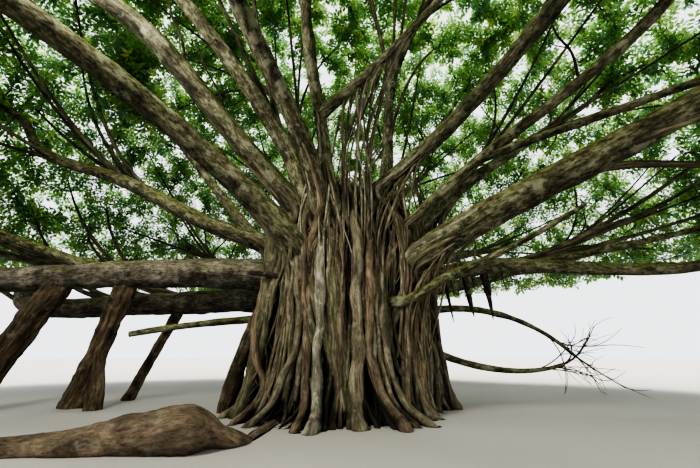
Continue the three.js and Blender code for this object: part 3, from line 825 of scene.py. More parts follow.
def worn(points, turn, shares):
    """Smooth hollows and one deep fold along each flank, where feet and rain have worn the wood."""
    fold = 0.13 * np.exp(-(((np.mod(turn + 0.6 * shares, math.pi) - 0.9) / 0.22) ** 2))
    hollows = 0.16 * lumps(points, 0.34, 41) + 0.08 * lumps(points, 0.12, 42)
    return hollows + 0.03 * lumps(points, 0.04, 43) - fold


# The worn bark takes painted shade on what faces down.
worn_bark = bark("bark_worn_bare", (0.070, 0.052, 0.034), (0.165, 0.125, 0.082), (0.29, 0.225, 0.15),
                 lichen=0.25, streak=0.35, deep=0.02, spread=0.14, crack=0.55, blotch=0.55, underside_shade=0.6)
build_limb("surface_root", through(KNEE), knee_radius, worn_bark, KNEE_SIDES, KNEE_RING_EVERY,
           relief=worn)


# The strands: hundreds of aerial roots that cling to the heart from its
# shoulder to the ground, fused where they touch. Wide ones follow the ribs,
# thinner ones wander and cross between, and the stouter ones spread into toes.

# Azimuths are in degrees, and thicknesses are radii in metres.
RIB_STRANDS = (0.060, 0.120)
MIDDLE_STRANDS = 64
MIDDLE_THICK = (0.026, 0.056)
CURTAIN_STRANDS = 40
CURTAIN_FROM_TO = (303, 366)
CURTAIN_THICK = (0.014, 0.034)
THIN_STRANDS = 140
THIN_THICK = (0.009, 0.021)
FRONT = (228, 306)
AROUND_FRONT = (208, 326)
FRONT_RIB_SHARE = 0.55
FRONT_MIDDLE_SHARE = 0.6
# Painted shade between the strands: how far in it grows to its darkest, how deep it starts, and how dark it
# gets.
CLEFT_DEEP = 0.12
UNSHADED_DEPTH = 0.03
DARKEST_CLEFT_SHADE = 0.95
COAT_COLUMNS = 720
COAT_ROWS = 160
COAT_SPREAD = 6
COAT_WIDEST_SHARE = 0.3

# Each bark's dark, middle and pale tone, moss and lichen, then the share of the strands that wear each.
STRAND_TONES = [
    ("grey", (0.052, 0.044, 0.029), (0.145, 0.124, 0.082), (0.30, 0.265, 0.185), 0.1, 0.35),
    ("olive", (0.040, 0.038, 0.019), (0.112, 0.106, 0.060), (0.235, 0.222, 0.138), 0.3, 0.25),
    ("brown", (0.052, 0.040, 0.026), (0.150, 0.113, 0.072), (0.275, 0.218, 0.145), 0.0, 0.15),
    ("pale", (0.075, 0.067, 0.046), (0.19, 0.175, 0.125), (0.34, 0.325, 0.25), 0.0, 0.9),
]
STRAND_SHARES = (0.42, 0.30, 0.22, 0.06)
# The strands' barks carry painted black shade deep in their clefts.
strand_barks = [
    bark("bark_strand_" + tone, *tones, fineness=1.4, deep=0.008, spread=0.13, crack=0.5, blotch=0.5,
         cleft_shade_on=True)
    for tone, *tones in STRAND_TONES
]
dead_bark = bark("bark_on_dead_stub", (0.016, 0.013, 0.009), (0.040, 0.033, 0.022), (0.085, 0.072, 0.05),
                 spread=0.12)

# The roots that stand out on the side that shows: azimuths at the foot, a third, two thirds and
# the top; height of the top; radius; share of it that stands proud; bark. Degrees and metres.
MARKED_ROOTS = [
    ((199, 201, 203, 206), 2.05, 0.058, 1.3, 2),
    ((206, 208, 210, 211), 2.50, 0.045, 1.2, 0),
    ((214, 213, 217, 217), 2.85, 0.060, 1.5, 0),
    ((231, 222, 218, 219), 2.75, 0.048, 1.6, 2),
    ((236, 248, 246, 243), 2.85, 0.052, 1.3, 0),
    ((257, 252, 250, 248), 2.95, 0.050, 1.2, 2),
    ((229, 230, 237, 240), 2.50, 0.030, 0.9, 1),
    ((261, 258, 258, 256), 3.50, 0.068, 1.3, 3),
    ((264, 265, 264, 263), 3.20, 0.038, 0.9, 1),
    ((267, 270, 270, 270), 3.20, 0.042, 1.3, 2),
    ((273, 274, 273, 272), 3.80, 0.034, 0.9, 1),
    ((277, 279, 278, 276), 3.60, 0.088, 1.1, 0),
    ((281, 281, 282, 282), 4.10, 0.032, 1.6, 2),
    ((291, 284, 286, 285), 3.20, 0.066, 1.3, 2),
    ((297, 289, 290, 291), 3.00, 0.043, 1.2, 0),
    ((304, 293, 293, 295), 2.80, 0.054, 1.3, 0),
    ((309, 301, 299, 300), 2.60, 0.034, 1.2, 1),
    ((327, 331, 333, 334), 1.60, 0.048, 1.0, 1),
    ((341, 345, 345, 346), 2.40, 0.052, 1.1, 1),
    ((350, 353, 353, 352), 2.60, 0.060, 0.8, 2),
    ((283, 283, 280, 277), 4.35, 0.026, 1.4, 3),
    ((275, 276, 273, 268), 4.38, 0.026, 1.2, 3),
    ((270, 268, 265, 262), 4.30, 0.024, 1.2, 0),
    ((289, 287, 286, 290), 4.34, 0.030, 1.3, 3),
    ((295, 296, 294, 300), 4.25, 0.026, 1.2, 0),
]
ROOTLETS = 3

# How many heights each kind of strand has along it, how many sides round it, and where its seeds start.
STOUT_STEPS = 90
MIDDLE_STEPS = 80
THIN_STEPS = 60
ROOTLET_STEPS = 40
RIB_SIDES = 12
MARKED_SIDES = 14
MIDDLE_SIDES = 8
CURTAIN_SIDES = 7
THIN_SIDES = 6
TOE_SIDES = 8
STUB_SIDES = 12
RIB_SEEDS = 100
MARKED_SEEDS = 150
MIDDLE_SEEDS = 200
CURTAIN_SEEDS = 300
THIN_SEEDS = 400
ROOTLET_SEEDS = 560
STUB_SEED = 77

FOOT_DIVE = 0.14
FOOT_SPREAD = 0.17
TOE_ASIDE = (-1, 0.1, 1)
TOE_HEIGHTS = np.array([0.55, 0.30, 0.13, 0.045, -0.05])
TOE_SWINGS = np.array([0.0, 0.25, 0.6, 0.9, 1.2])
TOE_START = 0.32
FLANK_HELD_IN = 0.8
ANY_PHASE = 6.28


def between(bounds, share):
    """The value that share of the way from the first bound to the second."""
    return bounds[0] + (bounds[1] - bounds[0]) * share


def neighbours(coat):
    """The coat turned by a few columns each way, to widen or even it out."""
    return [np.roll(coat, k, axis=1) for k in range(-COAT_SPREAD, COAT_SPREAD + 1)]


def coat_of_trunk():
    """The trunk's surface as a smooth coat over the ribs, which strands lie on and bridge the clefts of."""
    azimuths = np.linspace(0, TURN, COAT_COLUMNS, endpoint=False)[None]
    heights = np.linspace(0, TRUNK_TOP, COAT_ROWS)[:, None]
    coat = trunk_radius(azimuths, heights) - flank_hold(azimuths, heights)
    widest = np.max(neighbours(coat), axis=0)
    coat = (1 - COAT_WIDEST_SHARE) * coat + COAT_WIDEST_SHARE * widest
    return np.mean(neighbours(coat), axis=0)


COAT = coat_of_trunk()


def coat_at(azimuth, height):
    """How far out the coat lies at an azimuth in radians and a height."""
    column = np.mod(azimuth, TURN) / TURN * COAT_COLUMNS
    row = np.clip(height / TRUNK_TOP, 0, 0.999) * (COAT_ROWS - 1)
    c, r = column.astype(int) % COAT_COLUMNS, row.astype(int)
    u, v = column - column.astype(int), row - r
    after = (c + 1) % COAT_COLUMNS
    low = COAT[r, c] * (1 - u) + COAT[r, after] * u
    high = COAT[r + 1, c] * (1 - u) + COAT[r + 1, after] * u
    return low * (1 - v) + high * v


def heights_down(top, steps, foot=0.0, crowd=1.15):
    """Heights from a strand's top to its foot, closer together
    low down. One that reaches the ground dives in."""
    drop = np.linspace(0, 1, steps)
    dive = FOOT_DIVE * drop**8 if foot == 0 else 0
    return foot + (top - foot) * (1 - drop) ** crowd - dive


def any_bark(dice, shares):
    """The number of a bark, dealt out by those shares."""
    return int(dice.choice(len(shares), p=shares))


def cord_relief(seed):
    """The surface of a root: a little flat in places, with lumps, joints and fine wrinkles along it."""

    def relief(points, turn, shares):
        flat = 0.12 * np.sin(2 * turn + 5 * shares + seed)
        wrinkles = 0.10 * lumps(points, 0.04, seed + 3)
        return flat + 0.16 * lumps(points * [1, 1, 0.45], 0.11, seed) + wrinkles

    return relief


def add_root(joined, line, shares, radii, sides, kind, seed):
    """One root with a cord's surface, which goes no lower than the ground."""
    points, faces, grain = tube(line, shares, radii, sides, cord_relief(seed), seed)
    points[:, 2] = np.maximum(points[:, 2], 0)
    joined.add(points, faces, grain, kind)


def strand(joined, azimuths, heights, thick, proud, sides, kind, seed):
    """A root down the trunk: azimuth and radius at each
    height, proud of the coat by a share of its radius."""
    radius = coat_at(azimuths, np.maximum(heights, 0)) + proud * thick
    line = Line(round_trunk(radius, azimuths, heights))
    shares = np.linspace(0, 1, len(heights))
    add_root(joined, line, shares, np.interp(shares * line.length, line.run, thick), sides, kind, seed)


def toes(joined, azimuth, thick, reach, kind, dice):
    """Where a root meets the ground it splits into fingers that run out and dive."""
    for side in TOE_ASIDE:
        far = reach * (0.45 + 0.6 * dice.random()) * (1 - FLANK_HELD_IN * math.cos(azimuth) ** 4)
        swing = side * (0.06 + 0.08 * dice.random())
        outs = np.array([-0.4 * thick, 0.1 * thick, 0.25 * far, 0.60 * far, far])
        turns = azimuth + swing * TOE_SWINGS
        radius = coat_at(turns, np.full(len(turns), TOE_START)) + outs
        line = through(round_trunk(radius, turns, TOE_HEIGHTS), 60)
        shares = np.linspace(0, 1, 20)
        seed = int(azimuth * 90) + int(9 * swing)
        add_root(joined, line, shares, thick * (0.9 - 0.62 * shares), TOE_SIDES, kind, seed)


def in_front(azimuth):
    """Whether an azimuth in radians lies on the side that the view shows."""
    return FRONT[0] < math.degrees(azimuth) % 360 < FRONT[1]


strands = Joined()
thin_strands = Joined()
foot_toes = Joined()
dice = np.random.default_rng(SEED)
for i, (edge, _, toe) in enumerate(RIBS):
    following = RIBS[i + 1, 0] if i + 1 < RIB_COUNT else RIBS[0, 0] + TURN
    upright = 0.5 * (edge + following)
    top = 3.0 + 1.3 * dice.random()
    heights = heights_down(top, STOUT_STEPS)
    base = between(RIB_STRANDS, dice.random())
    base = base * (FRONT_RIB_SHARE if in_front(upright) else 1.0)
    thick = base * (1 + 0.18 * np.sin(3 * heights + i) + 0.25 * np.exp(-np.maximum(heights, 0) / 0.22))
    thick = thick * np.minimum(1, 0.45 + 1.6 * (top - heights))
    kind = any_bark(dice, STRAND_SHARES)
    strand(strands, upright + sway_at(upright, heights), heights, thick, -0.2, RIB_SIDES, kind, RIB_SEEDS + i)
    toes(foot_toes, upright + float(sway_at(upright, 0.3)), 0.75 * base, 0.42 * toe, kind, dice)

for i, (turns, top, base, proud, kind) in enumerate(MARKED_ROOTS):
    heights = heights_down(top, STOUT_STEPS)
    bends = np.interp(heights / top, [0, 1 / 3, 2 / 3, 1], np.radians(turns))
    even = np.convolve(np.pad(bends, 12, mode="edge"), np.full(25, 1 / 25), mode="valid")
    even += 0.012 * np.sin(heights / 0.22 + 2 * i) + 0.006 * np.sin(heights / 0.09 + i)
    thick = base * (1 + 0.13 * np.sin(4 * heights + i) + 0.07 * np.sin(11 * heights + 2 * i))
    near_foot = np.exp(-np.maximum(heights, 0) / 0.13)
    thick = thick * (1 + 0.35 * near_foot) * np.clip(0.22 + 0.95 * (top - heights), 0, 1)
    spread = FOOT_SPREAD * (1 - FLANK_HELD_IN * math.cos(float(even[-1])) ** 4)
    standing = proud + spread * near_foot / base
    strand(strands, even, heights, thick, standing, MARKED_SIDES, kind, MARKED_SEEDS + i)
    toes(foot_toes, float(even[-14]), 0.72 * base, 0.46, kind, dice)
    for k in range(ROOTLETS):
        low = top * (0.45 + 0.3 * dice.random())
        high = min(TRUNK_TOP - 0.1, top + 0.3 + 0.8 * dice.random())
        climb = heights_down(high, ROOTLET_STEPS, low)
        side = (k - 1) * 0.05 * (climb - low) + 0.02 * np.sin(climb / 0.17 + k)
        thin = base * (0.20 + 0.25 * dice.random()) * np.clip(0.3 + 1.2 * (high - climb), 0, 1)
        azimuths = np.interp(climb, heights[::-1], even[::-1]) + side
        seed = ROOTLET_SEEDS + 4 * i + k
        strand(thin_strands, azimuths, climb, thin, proud + 1.4, CURTAIN_SIDES, kind, seed)

for i in range(MIDDLE_STRANDS):
    start = TURN * (i + 0.8 * dice.random()) / MIDDLE_STRANDS
    top = 2.3 + 2.0 * dice.random()
    heights = heights_down(top, MIDDLE_STEPS)
    lean = 0.16 * (dice.random() - 0.5)
    phase = ANY_PHASE * dice.random(2)
    azimuths = start + sway_at(start, heights) + lean * (top - heights) / 1.5
    azimuths += 0.05 * np.sin(heights / 0.9 + phase[0]) + 0.02 * np.sin(heights / 0.3 + phase[1])
    base = between(MIDDLE_THICK, dice.random())
    base = base * (FRONT_MIDDLE_SHARE if in_front(start) else 1.0)
    thick = base * (1 + 0.2 * np.sin(4 * heights + phase[0]) + 0.5 * np.exp(-heights / 0.2))
    thick = thick * np.minimum(1, 0.4 + 2.0 * (top - heights))
    kind = any_bark(dice, STRAND_SHARES)
    proud = 0.05 + 0.5 * dice.random()
    strand(strands, azimuths, heights, thick, proud, MIDDLE_SIDES, kind, MIDDLE_SEEDS + i)
    if i % 2 == 0:
        toes(foot_toes, float(azimuths[-12]), 0.8 * base, 0.3, kind, dice)

for i in range(CURTAIN_STRANDS):
    start = math.radians(between(CURTAIN_FROM_TO, dice.random()))
    top = 1.9 + 1.4 * dice.random()
    heights = heights_down(top, THIN_STEPS)
    phase = ANY_PHASE * dice.random()
    azimuths = start + 0.03 * np.sin(heights / 0.4 + phase) + 0.10 * (dice.random() - 0.5) * (top - heights)
    base = between(CURTAIN_THICK, dice.random())
    thick = base * (1 + 0.2 * np.sin(6 * heights + phase)) * np.minimum(1, 0.4 + 2.0 * (top - heights))
    kind = any_bark(dice, STRAND_SHARES)
    proud = 1.0 + 2.2 * dice.random()
    strand(thin_strands, azimuths, heights, thick, proud, CURTAIN_SIDES, kind, CURTAIN_SEEDS + i)

for i in range(THIN_STRANDS):
    start = TURN * dice.random()
    if i % 3 == 0:
        start = math.radians(between(AROUND_FRONT, dice.random()))
    top = 1.6 + 2.7 * dice.random()
    foot = 0 if dice.random() < 0.7 else 0.4 + 1.0 * dice.random()
    heights = heights_down(top, THIN_STEPS, foot)
    lean = (0.5 if i % 5 == 0 else 0.15) * (dice.random() - 0.5)
    phase = ANY_PHASE * dice.random(2)
    azimuths = start + sway_at(start, heights) + lean * (top - heights)
    azimuths += 0.04 * np.sin(heights / 0.5 + phase[0]) + 0.012 * np.sin(heights / 0.16 + phase[1])
    base = between(THIN_THICK, dice.random())
    thick = base * (1 + 0.2 * np.sin(7 * heights + phase[0])) * np.minimum(1, 0.3 + 3.0 * (top - heights))
    kind = any_bark(dice, STRAND_SHARES)
    proud = 0.6 + 1.6 * dice.random()
    strand(thin_strands, azimuths, heights, thick, proud, THIN_SIDES, kind, THIN_SEEDS + i)


def coat_cells(points):
    """The row and the column of the coat in which each point lies."""
    column = np.mod(np.arctan2(points[:, 1], points[:, 0]), TURN) / TURN * COAT_COLUMNS
    row = np.clip(points[:, 2] / TRUNK_TOP * (COAT_ROWS - 1), 0, COAT_ROWS - 1)
    return row.astype(int), column.astype(int) % COAT_COLUMNS


def outermost(points):
    """How far out the strands reach at each azimuth and height, a little widened and evened out."""
    reach = np.zeros((COAT_ROWS, COAT_COLUMNS))
    np.maximum.at(reach, coat_cells(points), np.hypot(points[:, 0], points[:, 1]))
    reach = np.max(neighbours(reach), axis=0)
    return np.mean(neighbours(reach), axis=0)


OUTERMOST = outermost(np.concatenate(strands.points + thin_strands.points + foot_toes.points))


def painted_shade_in_clefts(points):
    """Painted shade, from 0 on the strands' crests to nearly 1 deep between them."""
    depth = OUTERMOST[coat_cells(points)] - np.hypot(points[:, 0], points[:, 1])
    return DARKEST_CLEFT_SHADE * np.clip((depth - UNSHADED_DEPTH) / CLEFT_DEEP, 0, 1) ** 0.8


# A dead bough's dark stub, broken off short on the trunk's left.
STUB_RADIUS = 0.046
stub = bent(out_at(241, 1.30, 1.96), out_at(233, 1.80, 2.02), out_at(222, 1.98, 2.06))
stub_shares = np.linspace(0, 1, 26)
stub_radii = STUB_RADIUS * (1 - 0.3 * stub_shares) * np.minimum(1, 0.5 + 14 * (1 - stub_shares))
add_root(strands, stub, stub_shares, stub_radii, STUB_SIDES, len(strand_barks), STUB_SEED)

# The strands, thin strands and toes get painted shade by how deep in the clefts each point lies.
clinging = [("trunk_strands", strands), ("trunk_thin_strands", thin_strands), ("trunk_toes", foot_toes)]
for name, joined in clinging:
    piece = joined.made(name, [*strand_barks, dead_bark], cleft_shade_at=painted_shade_in_clefts)
    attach(piece, "root")
    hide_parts("trunk")


# The feeders: at each bough's butt, roots run up out of the trunk and on along the limb's underside and
# flanks, thinning until they sink into its bark. They hide the joint and tie the limb to the trunk.
FEEDER_COUNT = 6
FEEDER_THICK = (0.026, 0.058)
FEEDER_SHARES = (0.42, 0.42, 0.08, 0.08)
FEEDER_START = 0.22
UP_TRUNK_STEPS = (0.0, 0.3, 0.6, 0.85)
ALONG_LIMB_STEPS = (0.0, 0.3, 0.65, 1.0)
FEEDER_RINGS = 60
FEEDER_SIDES = 8
FEEDER_SEEDS = 700
STEEP_LIMB = 0.3
FAN_THICK = (0.012, 0.030)
FAN_STEPS = (0.45, 0.8, 1.0)
FAN_RINGS = 38
FAN_SIDES = 6
FAN_SEEDS = 900
FAN_OWN_BARK = 0.75

# Curtains of dry roots that drop from high limbs to the trunk: the limb, how many, where they start and end
# along it in metres, and the number of their bark.
FANS = [
    ("front_fork", 20, 0.45, 1.7, 3),
    ("front_upright", 9, 1.1, 2.2, 3),
    ("top_right", 18, 0.8, 2.2, 3),
    ("top_left", 14, 0.8, 2.0, 3),
    ("back_right_high", 26, 1.0, 2.6, 3),
    ("right_high", 22, 1.0, 2.4, 0),
    ("front_right_high", 16, 0.9, 1.8, 0),
    ("back_left_high", 16, 1.0, 2.2, 0),
    ("right_main", 8, 1.0, 1.5, 2),
]


def on_limb(line, radius_at, share, turn, sink):
    """A place on a limb's surface: turn 0 is its underside. Sink is a depth in metres."""
    centre = line.at(share)
    way = line.along(share)
    under = way * way[2] - UP
    if np.linalg.norm(under) < STEEP_LIMB:
        under = -np.array([centre[0], centre[1], 0]) / max(0.1, math.hypot(centre[0], centre[1]))
        under = under - way * np.dot(under, way)
    under = under / np.linalg.norm(under)
    flank = np.cross(way, under)
    return centre + (float(radius_at(share)) - sink) * (math.cos(turn) * under + math.sin(turn) * flank)


feeders = Joined()
for i, (name, butt, butt_at, *_) in enumerate(BOUGHS):
    line, radius_at = limbs[name]
    azimuth, height = math.radians(butt_at[0]), butt_at[1]
    for k in range(FEEDER_COUNT):
        turn = math.pi * (-0.72 + 1.44 * (k + 0.6 * dice.random()) / FEEDER_COUNT)
        thick = FEEDER_THICK[0] + (FEEDER_THICK[1] - FEEDER_THICK[0]) * dice.random() * min(1.2, butt / 0.2)
        reach = BUTT_SINK + 0.5 + (0.5 + 1.4 * dice.random()) * (0.5 + butt * 2.5)
        aside = -0.16 * math.sin(turn) * (1 + butt) + 0.06 * (dice.random() - 0.5)
        places = []
        foot = max(0.0, height * (0.1 + 0.6 * dice.random()) - 0.3)
        for step in UP_TRUNK_STEPS:
            h = foot + (height - butt - 0.12 - foot) * step
            a = azimuth + aside * (2.0 - 1.1 * step) + float(sway_at(azimuth + aside, h)) * (1 - step)
            r = float(coat_at(np.array(a), np.array(h))) + 0.25 * thick
            places.append(out_at(math.degrees(a), r, h))
        for step in ALONG_LIMB_STEPS:
            share = (BUTT_SINK + FEEDER_START + (reach - BUTT_SINK - FEEDER_START) * step) / line.length
            swing = turn * (0.75 + 0.25 * step)
            sink = 0.02 + (0.9 * thick if step == 1.0 else 0.0)
            places.append(on_limb(line, radius_at, share, swing, sink))
        route = through(places, 90)
        shares = np.linspace(0, 1, FEEDER_RINGS)
        radii = thick * (0.75 + 0.45 * np.sin(math.pi * np.minimum(shares * 1.3, 1)))
        radii = radii * (1 - 0.55 * shares**3)
        seed = FEEDER_SEEDS + 10 * i + k
        add_root(feeders, route, shares, radii, FEEDER_SIDES, any_bark(dice, FEEDER_SHARES), seed)

for i, (name, count, near, far, kind) in enumerate(FANS):
    line, radius_at = limbs[name]
    for k in range(count):
        out = near + (far - near) * (k + 0.7 * dice.random()) / count
        head = on_limb(line, radius_at, out / line.length, 1.2 * (dice.random() - 0.5), 0.02)
        azimuth = math.atan2(head[1], head[0]) + 0.5 * (dice.random() - 0.5)
        thick = between(FAN_THICK, dice.random())
        low = max(0.5, head[2] - 1.6 - 1.2 * dice.random())
        places = [on_limb(line, radius_at, (out + 0.35) / line.length, 0.0, 0.04), head]
        for step in FAN_STEPS:
            h = head[2] + (low - head[2]) * step
            r = float(coat_at(np.array(azimuth), np.array(h))) + 1.2 * thick
            r = r + (math.hypot(head[0], head[1]) - r) * (1 - step) ** 1.5
            places.append(out_at(math.degrees(azimuth), r, h))
        route = through(places, 70)
        shares = np.linspace(0, 1, FAN_RINGS)
        seed = FAN_SEEDS + 20 * i + k
        dealt = kind if dice.random() < FAN_OWN_BARK else 0
        add_root(feeders, route, shares, thick * (1 - 0.4 * shares), FAN_SIDES, dealt, seed)

feeders_piece = feeders.made("bough_feeders", strand_barks)
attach(feeders_piece, "root")
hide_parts("trunk")


# The upright shoots: slender water shoots, 2 to 5 cm thick, that stand up from the boughs' upper sides.
# They are dark wood with two side twigs each, and they bend a little as they climb into the leaves.
SIDE_TWIG_SHARES = (0.22, 0.42)
SIDE_TWIG_LENGTH = 0.55
SIDE_TWIG_THICK_SHARE = 0.42

# The bough, the share along it, length, lean to the view's right, and butt radius. Metres.
UPRIGHT_SHOOTS = [
    ("left_high_outer", 0.38, 1.90, -0.62, 0.024),
    ("left_high_outer", 0.27, 2.10, -0.90, 0.018),
    ("right_front_slender", 0.49, 1.50, -0.06, 0.022),
    ("right_front_slender", 0.35, 0.85, -0.30, 0.011),
    ("back_left", 0.50, 1.40, 0.20, 0.020),
    ("back_right", 0.45, 1.50, -0.20, 0.020),
]
upright_bark = bark("bark_on_upright_shoots", (0.010, 0.009, 0.006), (0.030, 0.026, 0.018),
                    (0.075, 0.066, 0.048), lichen=0.0)
upright_shoots = Joined()
for k, (name, share, length, lean, radius) in enumerate(UPRIGHT_SHOOTS):
    root = limbs[name][0].at(share)
    top = root + np.array([lean, 0.1 * length, length])
    wander = np.array([0.05 * math.sin(7 * k + 1), 0.04 * math.cos(5 * k), 0.0])
    lower = 0.65 * root + 0.35 * top + wander
    upper = 0.35 * root + 0.65 * top - 0.6 * wander
    climb = through([root, lower, upper, top], 60)
    shares = np.linspace(0, 1, 24)
    upright_shoots.add(*tube(climb, shares, radius * (1 - 0.5 * shares), 8, bough_relief(80 + k), k))
    for side, fork in zip((1, -1), SIDE_TWIG_SHARES):
        start = climb.at(fork)
        elbow = start + SIDE_TWIG_LENGTH * np.array([0.45 * side, 0.1, 0.15])
        end = elbow + SIDE_TWIG_LENGTH * np.array([0.25 * side, 0.1, 0.6])
        shares = np.linspace(0, 1, 12)
        twig = bent(start, elbow, end)
        radii = SIDE_TWIG_THICK_SHARE * radius * (1 - 0.6 * shares)
        upright_shoots.add(*tube(twig, shares, radii, 6, bough_relief(90 + k), k))
upright_piece = upright_shoots.made("upright_shoots", [upright_bark])
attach(upright_piece, "root")
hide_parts(*sorted({row[0] for row in UPRIGHT_SHOOTS}))


# The crown's masses: from each bough's tip a stem runs on, and twigs spring
# from it towards open room in the mass's own space, then finer twigs, then
# the shoots that bear the leaves. All are wood in thin grey-brown bark.
CELL_MARGIN = 0.09
LIMB_MARGIN = 0.06
TWIG_SPACING = 1.8
TARGET_DRAWS = 150
TARGET_MARGIN = 0.45
TARGET_FIELD = 7.6
SPRING_SHARES = (0.35, 0.6, 0.85, 1)
BEND_COST = 0.7
LEAST_TWIG = 0.9
TWIG_RADIUS = 0.042
STEM_OVERLAP = 0.12
FINE_SPACING = 0.56
FINE_DRAWS = 9000
CORNER_DRAWS = 20000
CORNER_FIELD = 10.4
FINE_LEAST = 0.25
FINE_RADIUS = 0.017
BOUGH_SPRINGS = (0.55, 0.63, 0.71, 0.79, 0.87, 0.95)
BRANCH_DRAWS = 1500
BRANCH_TRIES = 10
BRANCH_BEND_COST = 4.0
BRANCH_SPACING = 1.15
BRANCH_SPRINGS = (0.20, 0.26, 0.32, 0.38, 0.44, 0.50, 0.56, 0.62)
BRANCH_THICK_SHARE = 0.36
BRANCH_TIP = 0.020
SHOOT_EVERY = 0.066
SHOOT_LENGTHS = (0.26, 0.50)
SHOOT_RADIUS = 0.0055
SHOOT_LIFT = 0.18
STRETCHES = 12
NEARBY = 7
DIP_DEPTH = 0.85
DIP_SIZE = 2.1
RIM_INSIDE = 7.3
MINGLING = 0.34
GOLDEN_TURN = math.pi * (3 - math.sqrt(5))


def dome_measure(p, depth):
    """1 on a dome of that depth below the crown's outer surface, and more outside it."""
    reach = CROWN_REACH - depth
    tall = np.where(p[..., 2] > CROWN_BASE, CROWN_HEIGHT - CROWN_DEPTH_ON_TOP * depth, CROWN_LIP)
    flat = (p[..., 0] / (reach * CROWN_STRETCH)) ** 2 + (p[..., 1] / reach) ** 2
    return np.sqrt(flat + ((p[..., 2] - CROWN_BASE) / tall) ** 2)


centres = np.array([mass_centre(*row[4]) for row in BOUGHS])

# Every limb in straight stretches, which twigs and leaves keep clear of.
marks = np.linspace(0, 1, STRETCHES + 1)
stretch_from = np.concatenate([line.at(marks[:-1]) for line, _ in limbs.values()])
stretch_way = np.concatenate([line.at(marks[1:]) for line, _ in limbs.values()]) - stretch_from
stretch_radius = np.concatenate([radius_at(marks[:-1]) for _, radius_at in limbs.values()])
stretch_owner = np.repeat(list(limbs), STRETCHES)


def dips(p):
    """How far the leaves stop short of the crown's full
    reach: nothing on its swells, most in the hollows."""
    return DIP_DEPTH * np.clip(0.5 + 0.9 * lumps(p, DIP_SIZE, 31), 0, 1)


def under_crown(p):
    """Whether a place hangs below the crown's base, inside the rim, where the tree is bare."""
    return (p[..., 2] < CROWN_BASE - 0.3) & (np.hypot(p[..., 0] / CROWN_STRETCH, p[..., 1]) < RIM_INSIDE)


def in_own_space(p, mass, inset):
    """Whether a place lies in the crown's shell and nearer
    to its own mass than to any other, by that inset."""
    p = np.atleast_2d(p)
    inside = (dome_measure(p, 0) <= 1) & (dome_measure(p, CROWN_DEPTH) >= 1)
    squares = ((p[:, None] - centres[None]) ** 2).sum(-1)
    apart = np.linalg.norm(centres - centres[mass], axis=1)
    apart[mass] = 1
    room = (squares - squares[:, mass : mass + 1]) / (2 * apart)
    room[:, mass] = np.inf
    return inside & (room > CELL_MARGIN + inset).all(axis=1)


def clear_of_limbs(p, mass, with_own=False):
    """Whether a place is clear of the limbs near the mass, and of its own bough too if asked."""
    p = np.atleast_2d(p)
    near = np.linalg.norm(stretch_from - centres[mass], axis=1) < NEARBY
    if not with_own:
        near &= stretch_owner != BOUGHS[mass][0]
    start, way, radius = stretch_from[near], stretch_way[near], stretch_radius[near]
    off = p[:, None] - start[None]
    share = np.clip((off * way).sum(-1) / (way**2).sum(-1), 0, 1)
    gap = np.linalg.norm(off - share[..., None] * way, axis=-1)
    return (gap > radius + LIMB_MARGIN).all(axis=1)


def next_target(mass, ends, draw):
    """Of places drawn in the outer half of the mass's
    space, the one furthest from the twigs' ends so far."""
    off = np.array([[draw() - 0.5, draw() - 0.5, draw() - 0.5] for _ in range(TARGET_DRAWS)])
    p = off * TARGET_FIELD + centres[mass]
    fits = (dome_measure(p, 0.5 * CROWN_DEPTH) > 1) & (dome_measure(p, 0.33) < 1)
    fits &= in_own_space(p, mass, TARGET_MARGIN)
    room = np.linalg.norm(p[:, None] - np.array(ends)[None], axis=-1).min(axis=1)
    room[~fits] = 0
    best = int(np.argmax(room))
    return p[best] if room[best] > TWIG_SPACING else None


def best_spring(springs, target, least, bend_cost=BEND_COST):
    """The place on grown wood from which a new twig to the target bends and reaches least."""
    nodes, ways = springs
    away = target - nodes
    far = np.linalg.norm(away, axis=1)
    cost = far * (1 + bend_cost * (1 - (away * ways).sum(1) / np.maximum(far, 1e-6)))
    cost[far <= least] = np.inf
    best = int(np.argmin(cost))
    return None if np.isinf(cost[best]) else (nodes[best], ways[best], away[best])


def twig_from(spring, target):
    """A twig that leaves the wood along its own heading and bends over to the target."""
    node, way, away = spring
    return bent(node, node + 0.35 * np.linalg.norm(away) * way, target, 24)


def springs_of(grown, shares):
    """The places and headings on grown wood from which twigs may spring."""
    nodes = np.concatenate([line.at(shares) for line in grown])
    ways = np.concatenate([line.along(shares) for line in grown])
    return nodes, ways


def square_to(ways, hint):
    """A way square to each of those given and to the hint."""
    side = np.cross(ways, hint)
    small = np.linalg.norm(side, axis=-1) < 1e-3
    side[small] = np.cross(ways[small], [1.0, 0.0, 0.0])
    return side / np.linalg.norm(side, axis=-1, keepdims=True)


def grow_wood(mass):
    """The mass's stem and the twigs that are set out as in the solids."""
    bough, radius_at = limbs[BOUGHS[mass][0]]
    draw = draws_from(SEED + 101 * (mass + 1))
    aim = bough.along(1.0)
    tip = bough.at(1.0)
    tip_radius = float(radius_at(1.0))
    stem_end = tip + STEM_LENGTH * aim
    overlapping = Line(np.linspace(tip - STEM_OVERLAP * aim, stem_end, 20))
    wood = [(overlapping, tip_radius, 0.6 * tip_radius, 9)]
    grown = [Line(np.linspace(tip, stem_end, 20))]
    ends = [tip]
    target = next_target(mass, ends, draw)
    while target is not None:
        spring = best_spring(springs_of(grown, SPRING_SHARES), target, LEAST_TWIG)
        ends.append(target)
        twig = twig_from(spring, target)
        samples = twig.at([0.5, 0.75, 1])
        if in_own_space(samples, mass, 0).all() and clear_of_limbs(samples, mass).all():
            grown.append(twig)
            wood.append((twig, TWIG_RADIUS, 0.5 * TWIG_RADIUS, 6))
        target = next_target(mass, ends, draw)
    return grown, wood


